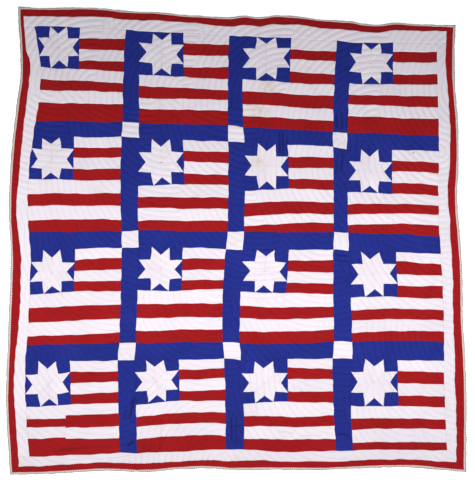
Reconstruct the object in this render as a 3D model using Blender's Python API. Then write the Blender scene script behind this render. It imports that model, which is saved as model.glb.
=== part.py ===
"""A flag block bed quilt, lying face up: one quilted body and four binding strips.

Units are metres. +Z is up out of the face, and +Y runs to the head of the quilt.
The origin is on the floor, under the middle of the quilt's bounding box.
"""
import math
from collections import namedtuple

import bmesh
import bpy
import numpy as np
from mathutils.geometry import delaunay_2d_cdt

MM = 0.001

# Finished edge, in millimetres from the middle of the quilt.
# One row for each place where a side bends, from corner to corner.
Place = namedtuple("Place", "x y")

HEAD_SIDE = (
    Place(-962, 1033),
    Place(-867, 1029),
    Place(-640, 1030),
    Place(-558, 1024),
    Place(-469, 1015),
    Place(-337, 1010),
    Place(-240, 999),
    Place(-94, 990),
    Place(-58, 985),
    Place(30, 996),
    Place(96, 987),
    Place(141, 994),
    Place(282, 991),
    Place(393, 976),
    Place(481, 973),
    Place(636, 956),
    Place(671, 962),
    Place(790, 958),
    Place(969, 951),
)
RIGHT_SIDE = (
    Place(969, 951),
    Place(965, 887),
    Place(966, 688),
    Place(978, 534),
    Place(980, 291),
    Place(975, 202),
    Place(983, 70),
    Place(996, -94),
    Place(1002, -372),
    Place(1011, -527),
    Place(1016, -704),
    Place(1016, -836),
    Place(1015, -1021),
)
FOOT_SIDE = (
    Place(1015, -1021),
    Place(923, -1013),
    Place(768, -1000),
    Place(591, -1003),
    Place(370, -1012),
    Place(149, -1010),
    Place(-27, -1011),
    Place(-116, -1005),
    Place(-266, -1010),
    Place(-381, -1020),
    Place(-589, -1015),
    Place(-792, -1027),
    Place(-998, -1033),
)
LEFT_SIDE = (
    Place(-998, -1033),
    Place(-1007, -881),
    Place(-1016, -704),
    Place(-1013, -571),
    Place(-1002, -306),
    Place(-995, -41),
    Place(-1003, 114),
    Place(-996, 335),
    Place(-975, 547),
    Place(-964, 631),
    Place(-955, 688),
    Place(-952, 821),
    Place(-960, 954),
    Place(-964, 998),
    Place(-962, 1033),
)
SIDES = (
    ("head", HEAD_SIDE),
    ("right", RIGHT_SIDE),
    ("foot", FOOT_SIDE),
    ("left", LEFT_SIDE),
)
EDGE_STEP = 0.066

# Binding: a strip folded over the edge, with one leg on the face and one below.
BINDING_WIDTH = 0.0095
BINDING_CLOTH = 0.0008
BINDING_HEIGHT = 0.0052
CLEARANCE = 0.0003
MITRE_CLEARANCE = 0.00022

# Body: top, batting and backing quilted together.
RIM_INSET = BINDING_CLOTH + CLEARANCE
RIM_LOW = BINDING_CLOTH + CLEARANCE
RIM_HIGH = BINDING_HEIGHT - BINDING_CLOTH - CLEARANCE
BINDING_SEAM = BINDING_WIDTH + 0.001
UNDERSIDE_INSET = BINDING_WIDTH + 0.008
STITCHED_DOWN = 0.0028
PUFFED_UP = 0.0050

# Quilting: arcs sewn by hand round one elbow place after another.
# A fan shows where no row above it does. Millimetres, and degrees from +X.
QUILTING_PITCH = 0.0265
FAN_HALF_SPREAD = 52
Fan = namedtuple("Fan", "x y faces reach")

FANS = (
    Fan(-624, 688, 135, 442),
    Fan(-204, 644, 135, 464),
    Fan(216, 622, 135, 464),
    Fan(622, 507, 135, 486),
    Fan(1069, 688, 180, 552),
    Fan(-403, 954, 225, 508),
    Fan(39, 954, 225, 508),
    Fan(-779, 799, 225, 486),
    Fan(547, 335, 180, 486),
    Fan(83, 578, 225, 442),
    Fan(-293, 556, 225, 464),
    Fan(-315, 291, 205, 575),
    Fan(901, 401, 225, 486),
    Fan(105, 224, 240, 486),
    Fan(-138, 202, 240, 442),
    Fan(392, 70, 240, 486),
    Fan(1033, 114, 225, 552),
    Fan(-514, 25, 225, 508),
    Fan(-94, -218, 225, 486),
    Fan(494, -165, 225, 530),
    Fan(1055, -394, 225, 508),
    Fan(-602, -461, 240, 508),
    Fan(-50, -991, 135, 508),
    Fan(459, -593, 225, 530),
    Fan(768, -704, 225, 486),
    Fan(1078, -704, 225, 486),
    Fan(-712, -704, 240, 442),
)

# Steps round an arc: one row for each band of radii, in metres and degrees.
ArcBand = namedtuple("ArcBand", "inner step")
ARC_BANDS = (
    ArcBand(0.0, 30.0),
    ArcBand(0.070, 22.5),
    ArcBand(0.160, 18.0),
    ArcBand(0.290, 12.0),
)
FARTHEST_ARC = 1.00
POINT_SPACING = 0.009
CHORD_CHECKS = (0.25, 0.5, 0.75)

# Two points closer than this are one point.
SAME_POINT = 1e-6

Finish = namedtuple("Finish", "name colour roughness")
COTTON = Finish("pieced cotton", (0.80, 0.74, 0.80, 1.0), 0.85)
PRINT = Finish("binding print cotton", (0.72, 0.58, 0.52, 1.0), 0.85)


def clear_scene():
    """Remove the objects that the file starts with."""
    for item in list(bpy.data.objects):
        bpy.data.objects.remove(item, do_unlink=True)


def cotton_material(finish):
    """A matt woven cloth finish."""
    material = bpy.data.materials.new(finish.name)
    material.use_nodes = True
    shader = material.node_tree.nodes["Principled BSDF"]
    shader.inputs["Base Color"].default_value = finish.colour
    shader.inputs["Roughness"].default_value = finish.roughness
    shader.inputs["Metallic"].default_value = 0.0
    return material


def smooth_side(rows):
    """Points along a side at even steps, on a smooth curve through its rows."""
    given = np.array([(row.x, row.y) for row in rows]) * MM
    gaps = np.linalg.norm(np.diff(given, axis=0), axis=1)
    along = np.concatenate(([0.0], np.cumsum(gaps)))
    slopes = np.gradient(given, along, axis=0)
    count = int(round(along[-1] / EDGE_STEP))
    points = []
    for place in np.linspace(0.0, along[-1], count + 1):
        span = min(int(np.searchsorted(along, place, side="right")) - 1, len(gaps) - 1)
        part = (place - along[span]) / gaps[span]
        ahead = part * part * (3.0 - 2.0 * part)
        leave = part * (1.0 - part) ** 2
        arrive = part * part * (part - 1.0)
        point = given[span] * (1.0 - ahead) + given[span + 1] * ahead
        point = point + gaps[span] * (leave * slopes[span] + arrive * slopes[span + 1])
        points.append(point)
    return points


def edge_loop():
    """The finished edge as one closed loop, clockwise from above, and its corners."""
    loop = []
    corners = []
    for _, rows in SIDES:
        corners.append(len(loop))
        loop.extend(smooth_side(rows)[:-1])
    loop = np.array(loop)
    middle = (loop.min(axis=0) + loop.max(axis=0)) / 2.0
    return loop - middle, corners


def inward_steps(loop):
    """For each point, the step that moves both of its edges inward by one unit."""
    before = loop - np.roll(loop, 1, axis=0)
    after = np.roll(loop, -1, axis=0) - loop
    before = before / np.linalg.norm(before, axis=1)[:, None]
    after = after / np.linalg.norm(after, axis=1)[:, None]
    inward_before = np.column_stack((before[:, 1], -before[:, 0]))
    inward_after = np.column_stack((after[:, 1], -after[:, 0]))
    half = inward_before + inward_after
    return half * (2.0 / np.sum(half * half, axis=1))[:, None]


def fan_table():
    """The fans' centres, facing directions and reaches as arrays in metres."""
    centres = np.array([(fan.x, fan.y) for fan in FANS]) * MM
    angles = np.radians([fan.faces for fan in FANS])
    facing = np.column_stack((np.cos(angles), np.sin(angles)))
    reaches = np.array([fan.reach for fan in FANS]) * MM
    return centres, facing, reaches


def owning_fan(points):
    """The index of the fan that each point is quilted by, and its radius there.

    A point that no fan reaches is quilted by the nearest one that faces it.
    """
    centres, facing, reaches = fan_table()
    spread = math.cos(math.radians(FAN_HALF_SPREAD))
    away = points[:, None, :] - centres[None, :, :]
    radii = np.linalg.norm(away, axis=2)
    ahead = np.sum(away * facing[None, :, :], axis=2)
    faced = ahead >= spread * radii
    covers = faced & (radii <= reaches)
    nearest = np.where(faced, radii, radii + FARTHEST_ARC).argmin(axis=1)
    owner = np.where(covers.any(axis=1), covers.argmax(axis=1), nearest)
    return owner, radii[np.arange(len(points)), owner]


def face_height(points):
    """Height of the face: low on each sewn arc and puffed up between two."""
    _, radii = owning_fan(points)
    puff = 0.5 - 0.5 * np.cos(2.0 * math.pi * radii / QUILTING_PITCH)
    return STITCHED_DOWN + (PUFFED_UP - STITCHED_DOWN) * puff


def inside(points, loop):
    """Which points lie inside a closed loop."""
    hits = np.zeros(len(points), dtype=bool)
    following = np.roll(loop, -1, axis=0)
    for start, end in zip(loop, following):
        crosses = (start[1] > points[:, 1]) != (end[1] > points[:, 1])
        if not crosses.any():
            continue
        share = (points[:, 1] - start[1]) / (end[1] - start[1])
        hits ^= crosses & (points[:, 0] < start[0] + share * (end[0] - start[0]))
    return hits


def belongs(points, index, guard):
    """Which points are quilted by one fan and lie inside the guard loop."""
    owner, _ = owning_fan(points)
    return (owner == index) & inside(points, guard)


def arc_step(radius):
    """Degrees between two points of an arc of this radius."""
    return [band.step for band in ARC_BANDS if radius >= band.inner][-1]


def quilting_points(guard):
    """Points on the sewn arcs and on the puffs between, and the edges along them."""
    centres, _, _ = fan_table()
    points = []
    edges = []
    arcs = int(FARTHEST_ARC / (QUILTING_PITCH / 2.0))
    for index, centre in enumerate(centres):
        earlier = np.array(points).reshape(-1, 2)
        for arc in range(1, arcs + 1):
            radius = arc * QUILTING_PITCH / 2.0
            angles = np.radians(np.arange(0.0, 360.0, arc_step(radius)))
            ring = centre + radius * np.column_stack((np.cos(angles), np.sin(angles)))
            kept = belongs(ring, index, guard)
            for place in np.flatnonzero(kept):
                gaps = np.linalg.norm(earlier - ring[place], axis=1)
                kept[place] = np.all(gaps > POINT_SPACING)
            numbers = {}
            for place in np.flatnonzero(kept):
                numbers[place] = len(points)
                points.append(ring[place])
            following = np.roll(ring, -1, axis=0)
            runs = np.ones(len(ring), dtype=bool)
            for share in CHORD_CHECKS:
                runs &= belongs(ring + (following - ring) * share, index, guard)
            for place, number in numbers.items():
                after = numbers.get((place + 1) % len(ring))
                if after is not None and runs[place]:
                    edges.append((number, after))
    return np.array(points), edges


def quilted_face(shape, border, guard, rim_height):
    """Add the quilted face inside a border loop that lies at one height."""
    points, arcs = quilting_points(guard)
    count = len(border)
    around = [(place, (place + 1) % count) for place in range(count)]
    along = [(first + count, second + count) for first, second in arcs]
    flat = [tuple(point) for point in np.vstack((border, points))]
    outline = [list(range(count))]
    result = delaunay_2d_cdt(flat, around + along, outline, 1, SAME_POINT, True)
    laid = np.array([(point[0], point[1]) for point in result[0]])
    heights = face_height(laid)
    for place, sources in enumerate(result[3]):
        if any(source < count for source in sources):
            heights[place] = rim_height
    made = [shape.verts.new((x, y, z)) for (x, y), z in zip(laid, heights)]
    triangles = np.array(result[2])
    within = inside(laid[triangles].mean(axis=1), border)
    for numbers in triangles[within]:
        shape.faces.new([made[number] for number in numbers])


def loop_verts(shape, loop, height):
    """A loop of vertices at one height."""
    return [shape.verts.new((x, y, height)) for x, y in loop]


def bridge(shape, first, second):
    """Quads between two loops of the same length."""
    count = len(first)
    for place in range(count):
        after = (place + 1) % count
        shape.faces.new((first[place], first[after], second[after], second[place]))


def finish_object(name, shape, finish):
    """Turn a closed bmesh into a named object with its material."""
    bmesh.ops.remove_doubles(shape, verts=shape.verts, dist=SAME_POINT)
    bmesh.ops.recalc_face_normals(shape, faces=shape.faces)
    bmesh.ops.triangulate(shape, faces=shape.faces)
    mesh = bpy.data.meshes.new(name)
    shape.to_mesh(mesh)
    shape.free()
    mesh.materials.append(cotton_material(finish))
    item = bpy.data.objects.new(name, mesh)
    bpy.context.scene.collection.objects.link(item)
    return item


def quilt_body(loop, steps):
    """The quilted body: a puffed face, a thin rim in the binding and a flat back."""
    shape = bmesh.new()
    rim = loop + steps * RIM_INSET
    seam = loop + steps * BINDING_SEAM
    underside = loop + steps * UNDERSIDE_INSET
    seam_high = loop_verts(shape, seam, RIM_HIGH)
    rim_high = loop_verts(shape, rim, RIM_HIGH)
    rim_low = loop_verts(shape, rim, RIM_LOW)
    seam_low = loop_verts(shape, seam, RIM_LOW)
    floor = loop_verts(shape, underside, 0.0)
    bridge(shape, seam_high, rim_high)
    bridge(shape, rim_high, rim_low)
    bridge(shape, rim_low, seam_low)
    bridge(shape, seam_low, floor)
    shape.faces.new(floor)
    guard = loop + steps * (BINDING_SEAM + POINT_SPACING)
    quilted_face(shape, seam, guard, RIM_HIGH)
    return finish_object("quilt_body", shape, COTTON)


def binding_section():
    """Corners of the folded strip: inward from the edge, and height."""
    high_leg = BINDING_HEIGHT - BINDING_CLOTH
    return (
        (BINDING_WIDTH, 0.0),
        (0.0, 0.0),
        (0.0, BINDING_HEIGHT),
        (BINDING_WIDTH, BINDING_HEIGHT),
        (BINDING_WIDTH, high_leg),
        (BINDING_CLOTH, high_leg),
        (BINDING_CLOTH, BINDING_CLOTH),
        (BINDING_WIDTH, BINDING_CLOTH),
    )


def binding_strip(name, loop, steps, first, last):
    """One strip along a side, mitred where it meets the next ones."""
    shape = bmesh.new()
    places = [place % len(loop) for place in range(first, last + 1)]
    rows = []
    for order, place in enumerate(places):
        slide = np.zeros(2)
        if order == 0:
            slide = loop[places[1]] - loop[place]
        if order == len(places) - 1:
            slide = loop[places[-2]] - loop[place]
        length = np.linalg.norm(slide)
        if length > 0.0:
            slide = slide * MITRE_CLEARANCE / length
        row = []
        for inward, height in binding_section():
            x, y = loop[place] + slide + steps[place] * inward
            row.append(shape.verts.new((x, y, height)))
        rows.append(row)
    for row, following in zip(rows, rows[1:]):
        bridge(shape, row, following)
    legs = ((0, 1, 6, 7), (1, 2, 5, 6), (2, 3, 4, 5))
    for end in (rows[0], rows[-1]):
        for leg in legs:
            shape.faces.new([end[number] for number in leg])
    return finish_object(name, shape, PRINT)


def main():
    clear_scene()
    loop, corners = edge_loop()
    steps = inward_steps(loop)
    quilt_body(loop, steps)
    ends = corners[1:] + [len(loop)]
    for (name, _), first, last in zip(SIDES, corners, ends):
        binding_strip("binding_" + name, loop, steps, first, last)


main()
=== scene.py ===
"""The looks of a hand-quilted bed quilt of sixteen flag blocks, lying flat and face up.

+X runs to the quilt's right edge and +Y to its head, as seen from above.
The tables are in millimetres, measured from the quilt's middle. A size that is
multiplied by MM is in metres, as the frame is.
"""
import math
import random
from collections import namedtuple
from functools import lru_cache

import bpy
import numpy as np
from bpy.props import FloatProperty, FloatVectorProperty, PointerProperty
from mathutils.geometry import delaunay_2d_cdt
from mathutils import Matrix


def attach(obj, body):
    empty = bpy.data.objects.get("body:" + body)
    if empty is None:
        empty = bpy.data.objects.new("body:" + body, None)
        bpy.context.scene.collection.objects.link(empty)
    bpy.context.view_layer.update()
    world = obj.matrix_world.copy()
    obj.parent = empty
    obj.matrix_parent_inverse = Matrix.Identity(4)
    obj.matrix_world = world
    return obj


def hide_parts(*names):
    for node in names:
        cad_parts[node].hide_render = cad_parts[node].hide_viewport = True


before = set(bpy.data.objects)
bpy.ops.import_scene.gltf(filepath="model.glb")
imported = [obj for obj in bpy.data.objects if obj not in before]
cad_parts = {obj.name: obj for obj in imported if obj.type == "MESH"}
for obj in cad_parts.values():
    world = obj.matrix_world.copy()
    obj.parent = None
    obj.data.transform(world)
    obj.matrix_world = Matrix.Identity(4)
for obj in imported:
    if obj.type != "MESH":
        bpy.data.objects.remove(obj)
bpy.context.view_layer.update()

bl_info = {
    "name": "Flag Quilt",
    "version": (1, 0, 0),
    "blender": (4, 5, 0),
    "location": "View3D > Sidebar > Quilt",
    "description": "Pieces, quilts and binds a patchwork of flag blocks",
    "category": "Add Mesh",
}

MM = 0.001
SIDES = ("head", "right", "foot", "left")

# Where each up-and-down seam line crosses the seams across, and where it runs
# at the middle of each row of blocks. Left edge, three sashes, right edge.
UpSeam = namedtuple(
    "UpSeam", "head row_1 a_head a_foot row_2 b_head b_foot row_3 c_head c_foot row_4 foot"
)
UP_SEAMS = (
    UpSeam(-894, -866, -887, -898, -922, -918, -909, -914, -926, -932, -932, -914),
    UpSeam(-488, -499, -501, -507, -512, -506, -505, -511, -518, -524, -521, -514),
    UpSeam(-430, -430, -430, -430, -433, -434, -430, -438, -444, -449, -444, -438),
    UpSeam(-32, -36, -36, -34, -35, -38, -45, -60, -59, -54, -48, -46),
    UpSeam(30, 28, 31, 37, 38, 34, 30, 18, 15, 21, 33, 34),
    UpSeam(445, 434, 428, 429, 431, 431, 429, 430, 434, 426, 429, 442),
    UpSeam(500, 499, 492, 490, 491, 495, 499, 508, 513, 512, 507, 517),
    UpSeam(885, 890, 895, 897, 894, 900, 904, 915, 920, 919, 922, 931),
)
ROW_MIDDLES = (710, 224, -262, -704)
LEFT_EDGE_MIDDLES = (759, 180, -262, -704)

# Height of each seam line across where it meets the eight lines above,
# and how far it bows towards the head in each of the four columns.
CrossSeam = namedtuple("CrossSeam", "at_up_seams bows")
CROSS_SEAMS = (
    CrossSeam((947, 935, 927, 905, 905, 885, 876, 874), (4, 4, 0, 0)),
    CrossSeam((529, 525, 521, 510, 503, 482, 478, 465), (0, 0, 0, 0)),
    CrossSeam((456, 459, 453, 439, 434, 415, 407, 396), (0, 0, 0, 0)),
    CrossSeam((39, 42, 47, 41, 40, 38, 35, 22), (0, 0, 0, 0)),
    CrossSeam((-43, -30, -28, -36, -41, -39, -45, -58), (0, 0, 0, 0)),
    CrossSeam((-462, -452, -452, -447, -451, -444, -448, -451), (0, 0, -8, 7)),
    CrossSeam((-532, -530, -529, -523, -528, -519, -521, -531), (0, 0, 0, 0)),
    CrossSeam((-952, -937, -940, -924, -923, -927, -928, -928), (-3, 1, -8, 5)),
)

# One row for each flag: where the canton's right seam starts and ends, the
# stripes' widths down that seam, down the left edge (after the canton's own
# height) and down the right edge, and how far the long seams bow.
Flag = namedtuple("Flag", "row column canton_head canton_foot at_canton at_left at_right bow")
FLAGS = (
    Flag(0, 0, -691, -696, (49, 49, 53, 35), (178, 54, 49, 53, 84),
         (43, 50, 47, 46, 52, 40, 54, 78), 0),
    Flag(0, 1, -234, -231, (46, 53, 53, 44), (194, 49, 53, 49, 62),
         (40, 49, 51, 51, 49, 44, 46, 66), 0),
    Flag(0, 2, 242, 236, (51, 42, 53, 49), (190, 53, 57, 51, 51),
         (46, 46, 57, 47, 50, 56, 53, 46), 0),
    Flag(0, 3, 693, 693, (40, 46, 57, 42), (179, 51, 42, 53, 73),
         (40, 44, 52, 48, 51, 52, 50, 72), 0),
    Flag(1, 0, -718, -720, (46, 45, 49, 48), (185, 65, 55, 61, 53),
         (46, 45, 53, 49, 59, 54, 61, 52), 2),
    Flag(1, 1, -236, -228, (48, 47, 54, 48), (208, 51, 50, 55, 42),
         (46, 50, 51, 45, 57, 50, 53, 46), 1),
    Flag(1, 2, 228, 234, (52, 49, 50, 43), (213, 55, 59, 43, 24),
         (49, 46, 53, 43, 56, 54, 38, 41), 6),
    Flag(1, 3, 689, 690, (46, 48, 49, 48), (194, 54, 44, 47, 34),
         (51, 46, 55, 46, 42, 41, 47, 47), 5),
    Flag(2, 0, -712, -719, (48, 48, 49, 43), (195, 59, 66, 60, 39),
         (45, 50, 50, 47, 57, 66, 61, 46), 0),
    Flag(2, 1, -236, -242, (47, 50, 47, 44), (193, 60, 61, 57, 53),
         (44, 48, 46, 39, 63, 61, 54, 57), 0),
    Flag(2, 2, 234, 221, (47, 49, 50, 45), (187, 61, 55, 60, 49),
         (48, 52, 51, 48, 53, 50, 52, 53), -5),
    Flag(2, 3, 706, 715, (38, 57, 51, 51), (206, 57, 47, 55, 41),
         (46, 52, 46, 55, 52, 44, 50, 49), 6),
    Flag(3, 0, -735, -730, (50, 50, 49, 44), (206, 51, 38, 50, 76),
         (47, 45, 49, 48, 46, 57, 52, 65), 0),
    Flag(3, 1, -254, -249, (45, 42, 51, 44), (197, 53, 46, 55, 61),
         (41, 43, 52, 47, 55, 48, 53, 62), 9),
    Flag(3, 2, 227, 229, (38, 50, 53, 46), (191, 55, 45, 55, 49),
         (47, 48, 53, 51, 56, 43, 59, 51), -4),
    Flag(3, 3, 713, 716, (50, 53, 57, 46), (210, 57, 49, 58, 34),
         (52, 51, 52, 50, 56, 43, 58, 35), 5),
)

# Long stripes that were pieced from two lengths: the stripe, counted from the
# canton's foot, and where its own seam runs.
Join = namedtuple("Join", "row column stripe x")
JOINS = (
    Join(3, 0, 1, -754),
    Join(3, 0, 2, -754),
    Join(1, 3, 2, 693),
    Join(1, 3, 3, 689),
    Join(1, 1, 1, -394),
    Join(3, 1, 3, -336),
    Join(3, 2, 0, 92),
)

# Where the two lengths differ in width, so that a long seam jumps at the join:
# the seam, counted from the canton's foot, and how far its right part is up.
Jog = namedtuple("Jog", "row column seam x up")
JOGS = (Jog(3, 0, 1, -754, 13), Jog(3, 0, 2, -754, -5), Jog(3, 0, 3, -754, -6))

# Each star's outermost points, and the middles between the two points that
# reach to each side of its canton.
Star = namedtuple("Star", "left right head foot head_middle foot_middle left_middle right_middle")
STARS = (
    Star(-876, -693, 945, 768, -787, -783, 856, 856),
    Star(-425, -233, 918, 733, -329, -330, 834, 823),
    Star(32, 240, 903, 713, 132, 132, 808, 808),
    Star(500, 693, 876, 697, 598, 598, 790, 783),
    Star(-906, -720, 459, 270, -819, -821, 366, 361),
    Star(-430, -235, 445, 249, -333, -327, 349, 347),
    Star(39, 227, 426, 231, 135, 137, 333, 329),
    Star(499, 684, 401, 213, 590, 590, 310, 306),
    Star(-907, -719, -44, -231, -815, -813, -138, -136),
    Star(-433, -242, -32, -218, -333, -336, -126, -125),
    Star(30, 221, -40, -226, 132, 122, -134, -138),
    Star(511, 707, -52, -244, 592, 611, -149, -146),
    Star(-931, -738, -537, -729, -835, -827, -638, -625),
    Star(-445, -257, -529, -714, -359, -350, -624, -615),
    Star(27, 226, -533, -716, 122, 125, -626, -629),
    Star(507, 710, -526, -726, 610, 610, -624, -625),
)
# Shares of the star's width and height, from its middle, and depths in mm.
TIP_ACROSS = 0.203
TIP_DOWN = 0.225
INNER_CORNER = 0.228
NOTCH_DEPTH = 30
TIP_REACH = 6

# Finished width of the red border with the binding, from place to place.
BorderWidth = namedtuple("BorderWidth", "at wide")
BORDER_WIDTHS = {
    "head": (
        BorderWidth(-938, 38), BorderWidth(-646, 39), BorderWidth(-447, 39),
        BorderWidth(-182, 34), BorderWidth(39, 42), BorderWidth(127, 36),
        BorderWidth(216, 42), BorderWidth(326, 35), BorderWidth(503, 43),
        BorderWidth(600, 35), BorderWidth(812, 30), BorderWidth(932, 27),
    ),
    "right": (
        BorderWidth(923, 35), BorderWidth(799, 38), BorderWidth(688, 32),
        BorderWidth(401, 35), BorderWidth(246, 41), BorderWidth(92, 36),
        BorderWidth(-19, 42), BorderWidth(-350, 41), BorderWidth(-483, 42),
        BorderWidth(-615, 48), BorderWidth(-836, 42), BorderWidth(-978, 42),
    ),
    "foot": (
        BorderWidth(967, 38), BorderWidth(724, 31), BorderWidth(415, 36),
        BorderWidth(251, 35), BorderWidth(74, 40), BorderWidth(-266, 34),
        BorderWidth(-434, 36), BorderWidth(-960, 33),
    ),
    "left": (
        BorderWidth(-996, 39), BorderWidth(-748, 37), BorderWidth(-615, 32),
        BorderWidth(-527, 34), BorderWidth(-306, 46), BorderWidth(-63, 42),
        BorderWidth(114, 31), BorderWidth(335, 41), BorderWidth(578, 40),
        BorderWidth(710, 37), BorderWidth(777, 42), BorderWidth(808, 34),
        BorderWidth(843, 24), BorderWidth(976, 22),
    ),
}

# Quilting: arcs sewn by hand round one elbow place after another. A fan shows
# where no row above it does. It faces an angle in degrees from +X.
FAN_HALF_SPREAD = 52
FARTHEST_ARC = 1.00
Fan = namedtuple("Fan", "x y faces reach")
FANS = (
    Fan(-624, 688, 135, 442),
    Fan(-204, 644, 135, 464),
    Fan(216, 622, 135, 464),
    Fan(622, 507, 135, 486),
    Fan(1069, 688, 180, 552),
    Fan(-403, 954, 225, 508),
    Fan(39, 954, 225, 508),
    Fan(-779, 799, 225, 486),
    Fan(547, 335, 180, 486),
    Fan(83, 578, 225, 442),
    Fan(-293, 556, 225, 464),
    Fan(-315, 291, 205, 575),
    Fan(901, 401, 225, 486),
    Fan(105, 224, 240, 486),
    Fan(-138, 202, 240, 442),
    Fan(392, 70, 240, 486),
    Fan(1033, 114, 225, 552),
    Fan(-514, 25, 225, 508),
    Fan(-94, -218, 225, 486),
    Fan(494, -165, 225, 530),
    Fan(1055, -394, 225, 508),
    Fan(-602, -461, 240, 508),
    Fan(-50, -991, 135, 508),
    Fan(459, -593, 225, 530),
    Fan(768, -704, 225, 486),
    Fan(1078, -704, 225, 486),
    Fan(-712, -704, 240, 442),
)

# Creases left by folding and handling: a soft ridge, or a trough where the
# lift is less than nothing, from one end to the other past a bend.
Crease = namedtuple("Crease", "x0 y0 x1 y1 bend lift wide")
CREASES = (
    Crease(-800, -921, -630, -909, -3, -2.4, 5),
    Crease(-812, -932, -706, -926, 3, -2.2, 5),
    Crease(-770, -912, -722, -936, 0, -1.8, 5),
    Crease(-450, -680, -478, -801, 2, -2.6, 5),
    Crease(-438, -696, -470, -722, 0, -2.2, 4),
    Crease(-484, -738, -497, -800, 0, -1.8, 4),
    Crease(-484, -912, -446, -882, 2, -3.0, 5),
    Crease(-472, -801, -440, -801, 0, -1.6, 4),
    Crease(188, 496, 194, 376, 2, -2.6, 4),
    Crease(207, 496, 210, 376, -2, -2.3, 4),
    Crease(224, 470, 226, 378, 1, -2.0, 4),
    Crease(442, 567, 445, 489, 2, -2.0, 4),
    Crease(465, 580, 470, 489, -1, -1.8, 4),
    Crease(489, 590, 487, 486, 1, -1.6, 4),
    Crease(472, 398, 459, 298, 3, -2.2, 4),
    Crease(442, 362, 445, 296, 0, -1.8, 4),
    Crease(434, -60, 503, -66, -2, -2.4, 4),
    Crease(437, -88, 500, -94, 2, -1.8, 4),
    Crease(-22, -759, -21, -907, 1, -2.2, 4),
    Crease(0, -759, 1, -914, -1, -1.5, 4),
    Crease(-45, -823, 28, -817, 0, -1.8, 4),
    Crease(171, -841, 262, -854, 2, -1.8, 4),
    Crease(268, -862, 392, -856, -3, -1.6, 4),
    Crease(448, -854, 503, -866, 5, -2.6, 4),
    Crease(-328, -748, -348, -978, 5, -1.2, 4),
    Crease(90, 128, 380, 92, 8, 0.9, 14),
    Crease(-210, -610, 120, -640, -9, 0.8, 14),
)

# Marks on the cloth: a soft round spot where something was spilled.
Mark = namedtuple("Mark", "x y across down strength")
MARKS = (
    Mark(143, 678, 74, 52, 0.60),
    Mark(98, 578, 90, 50, 0.50),
    Mark(92, 352, 50, 44, 0.55),
    Mark(320, 762, 34, 30, 0.35),
    Mark(346, 674, 30, 26, 0.30),
    Mark(-916, -781, 26, 12, 0.50),
    Mark(-10, -10, 40, 34, 0.30),
    Mark(4, -960, 60, 26, 0.30),
    Mark(-620, 214, 70, 40, 0.25),
)
# A loose end of dark thread that is caught in a white stripe.
LOOSE_THREAD = (783, 390)
LOOSE_THREAD_LONG = 11
LOOSE_THREAD_WIDE = 3.2
LOOSE_THREAD_LIES = (0.1, 0.995)

# The finished edge is taken in steps of the first length, and points of an outline
# that are closer than the second are one point.
EDGE_STEP = 8 * MM
DOUBLED = 0.3 * MM
# Distances from the finished edge are worked out up to the first length. The
# middle of the quilt, out to these places, is farther from it than that.
NEAR_EDGE = 0.1
MIDDLE_HALF_WIDTH = 0.86
MIDDLE_HALF_LENGTH = 0.84

# Points of the face. They lie on rings at these shares of the way from one sewn
# line to the next, one to a square of this size, and the quilting is laid out as
# far as this from the middle, across or along.
RING_PHASES = (0.0, 0.15, 0.5, 0.85)
CLOSEST = 2.6 * MM
FIELD_REACH = 1.03

# Slow unevenness of the batting: lengths in metres and heights in mm.
Ripple = namedtuple("Ripple", "length height")
RIPPLES = (
    Ripple(0.42, 0.34), Ripple(0.23, 0.22), Ripple(0.13, 0.15),
    Ripple(0.07, 0.10), Ripple(0.031, 0.10),
)
RIPPLES_OF_EACH_LENGTH = 6
RIPPLE_SEED = 11
# Wander of hand-sewn seams: lengths in metres, and how far in mm. It starts this
# far from the finished edge and has its full size this much farther in.
Drift = namedtuple("Drift", "length reach")
DRIFTS = (Drift(0.21, 0.8), Drift(0.11, 0.6), Drift(0.055, 0.45))
DRIFTS_OF_EACH_LENGTH = 4
DRIFT_SEED = 5
DRIFT_STARTS = 8 * MM
DRIFT_GROWS = 24 * MM

# A puff is a sine to this power. Where two fans meet, the cloth is held down
# within this distance, by this share of its puff.
PUFF_POWER = 0.7
FAN_EDGE_REACH = 4.5 * MM
FAN_EDGE_DROP = 0.8
# Height of the face where it meets the binding, how far in from there it has its
# full relief, and the lowest that it goes.
FACE_AT_BINDING = 4.0 * MM
FACE_RISES = 9 * MM
LOWEST_FACE = 2.1 * MM
# A crease fades over this share of its length at each end. The cloth's points
# follow it in rows at these shares of its width.
CREASE_END = 0.2
CREASE_STEP = 5 * MM
CREASE_ROWS = (-1.6, -0.8, 0.0, 0.8, 1.6)

# Painted shade in the sewn lines and creases: its share in a sewn line, how far
# from the line it spreads, and how deep in mm a crease gets any and gets it all.
LINE_PAINTED_SHADE = 0.6
LINE_PAINTED_SHADE_REACH = 2.2 * MM
SHADED_CREASE_DEPTH = 1.0
FULLY_SHADED_CREASE_DEPTH = 2.2

# Patches: the height of their flat base, how far above it their edges stay, and
# how far from the rolled edge the first points of the face lie. A star's diamonds
# are pressed flatter, so their seams are only this share as deep.
PATCH_BASE = 1.6 * MM
LEAST_PATCH_EDGE = 0.3 * MM
ROLL_CLEARANCE = 2.4 * MM
STAR_SEAM_DEPTH = 0.35
# The red border goes in under the binding as far as this from the edge.
BORDER_TUCK = 5 * MM

# Backing: the height of its upper side, how far in from the edge it is cut, and
# the spacing of its points. Its underside lifts a little between the lines of
# quilting, and near its rim, where it goes in under the binding.
BACKING_TOP = 1.9 * MM
BACKING_INSET = 5.5 * MM
BACKING_STEP = 14 * MM
BACKING_PHASES = (0.0, 0.5)
BACKING_CLEARANCE = 6 * MM
UNDERSIDE_DIMPLE = 0.7 * MM
UNDERSIDE_RIM = 9 * MM
UNDERSIDE_RIM_WIDE = 8 * MM
UNDERSIDE_RIM_LIFT = 0.9 * MM

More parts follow.
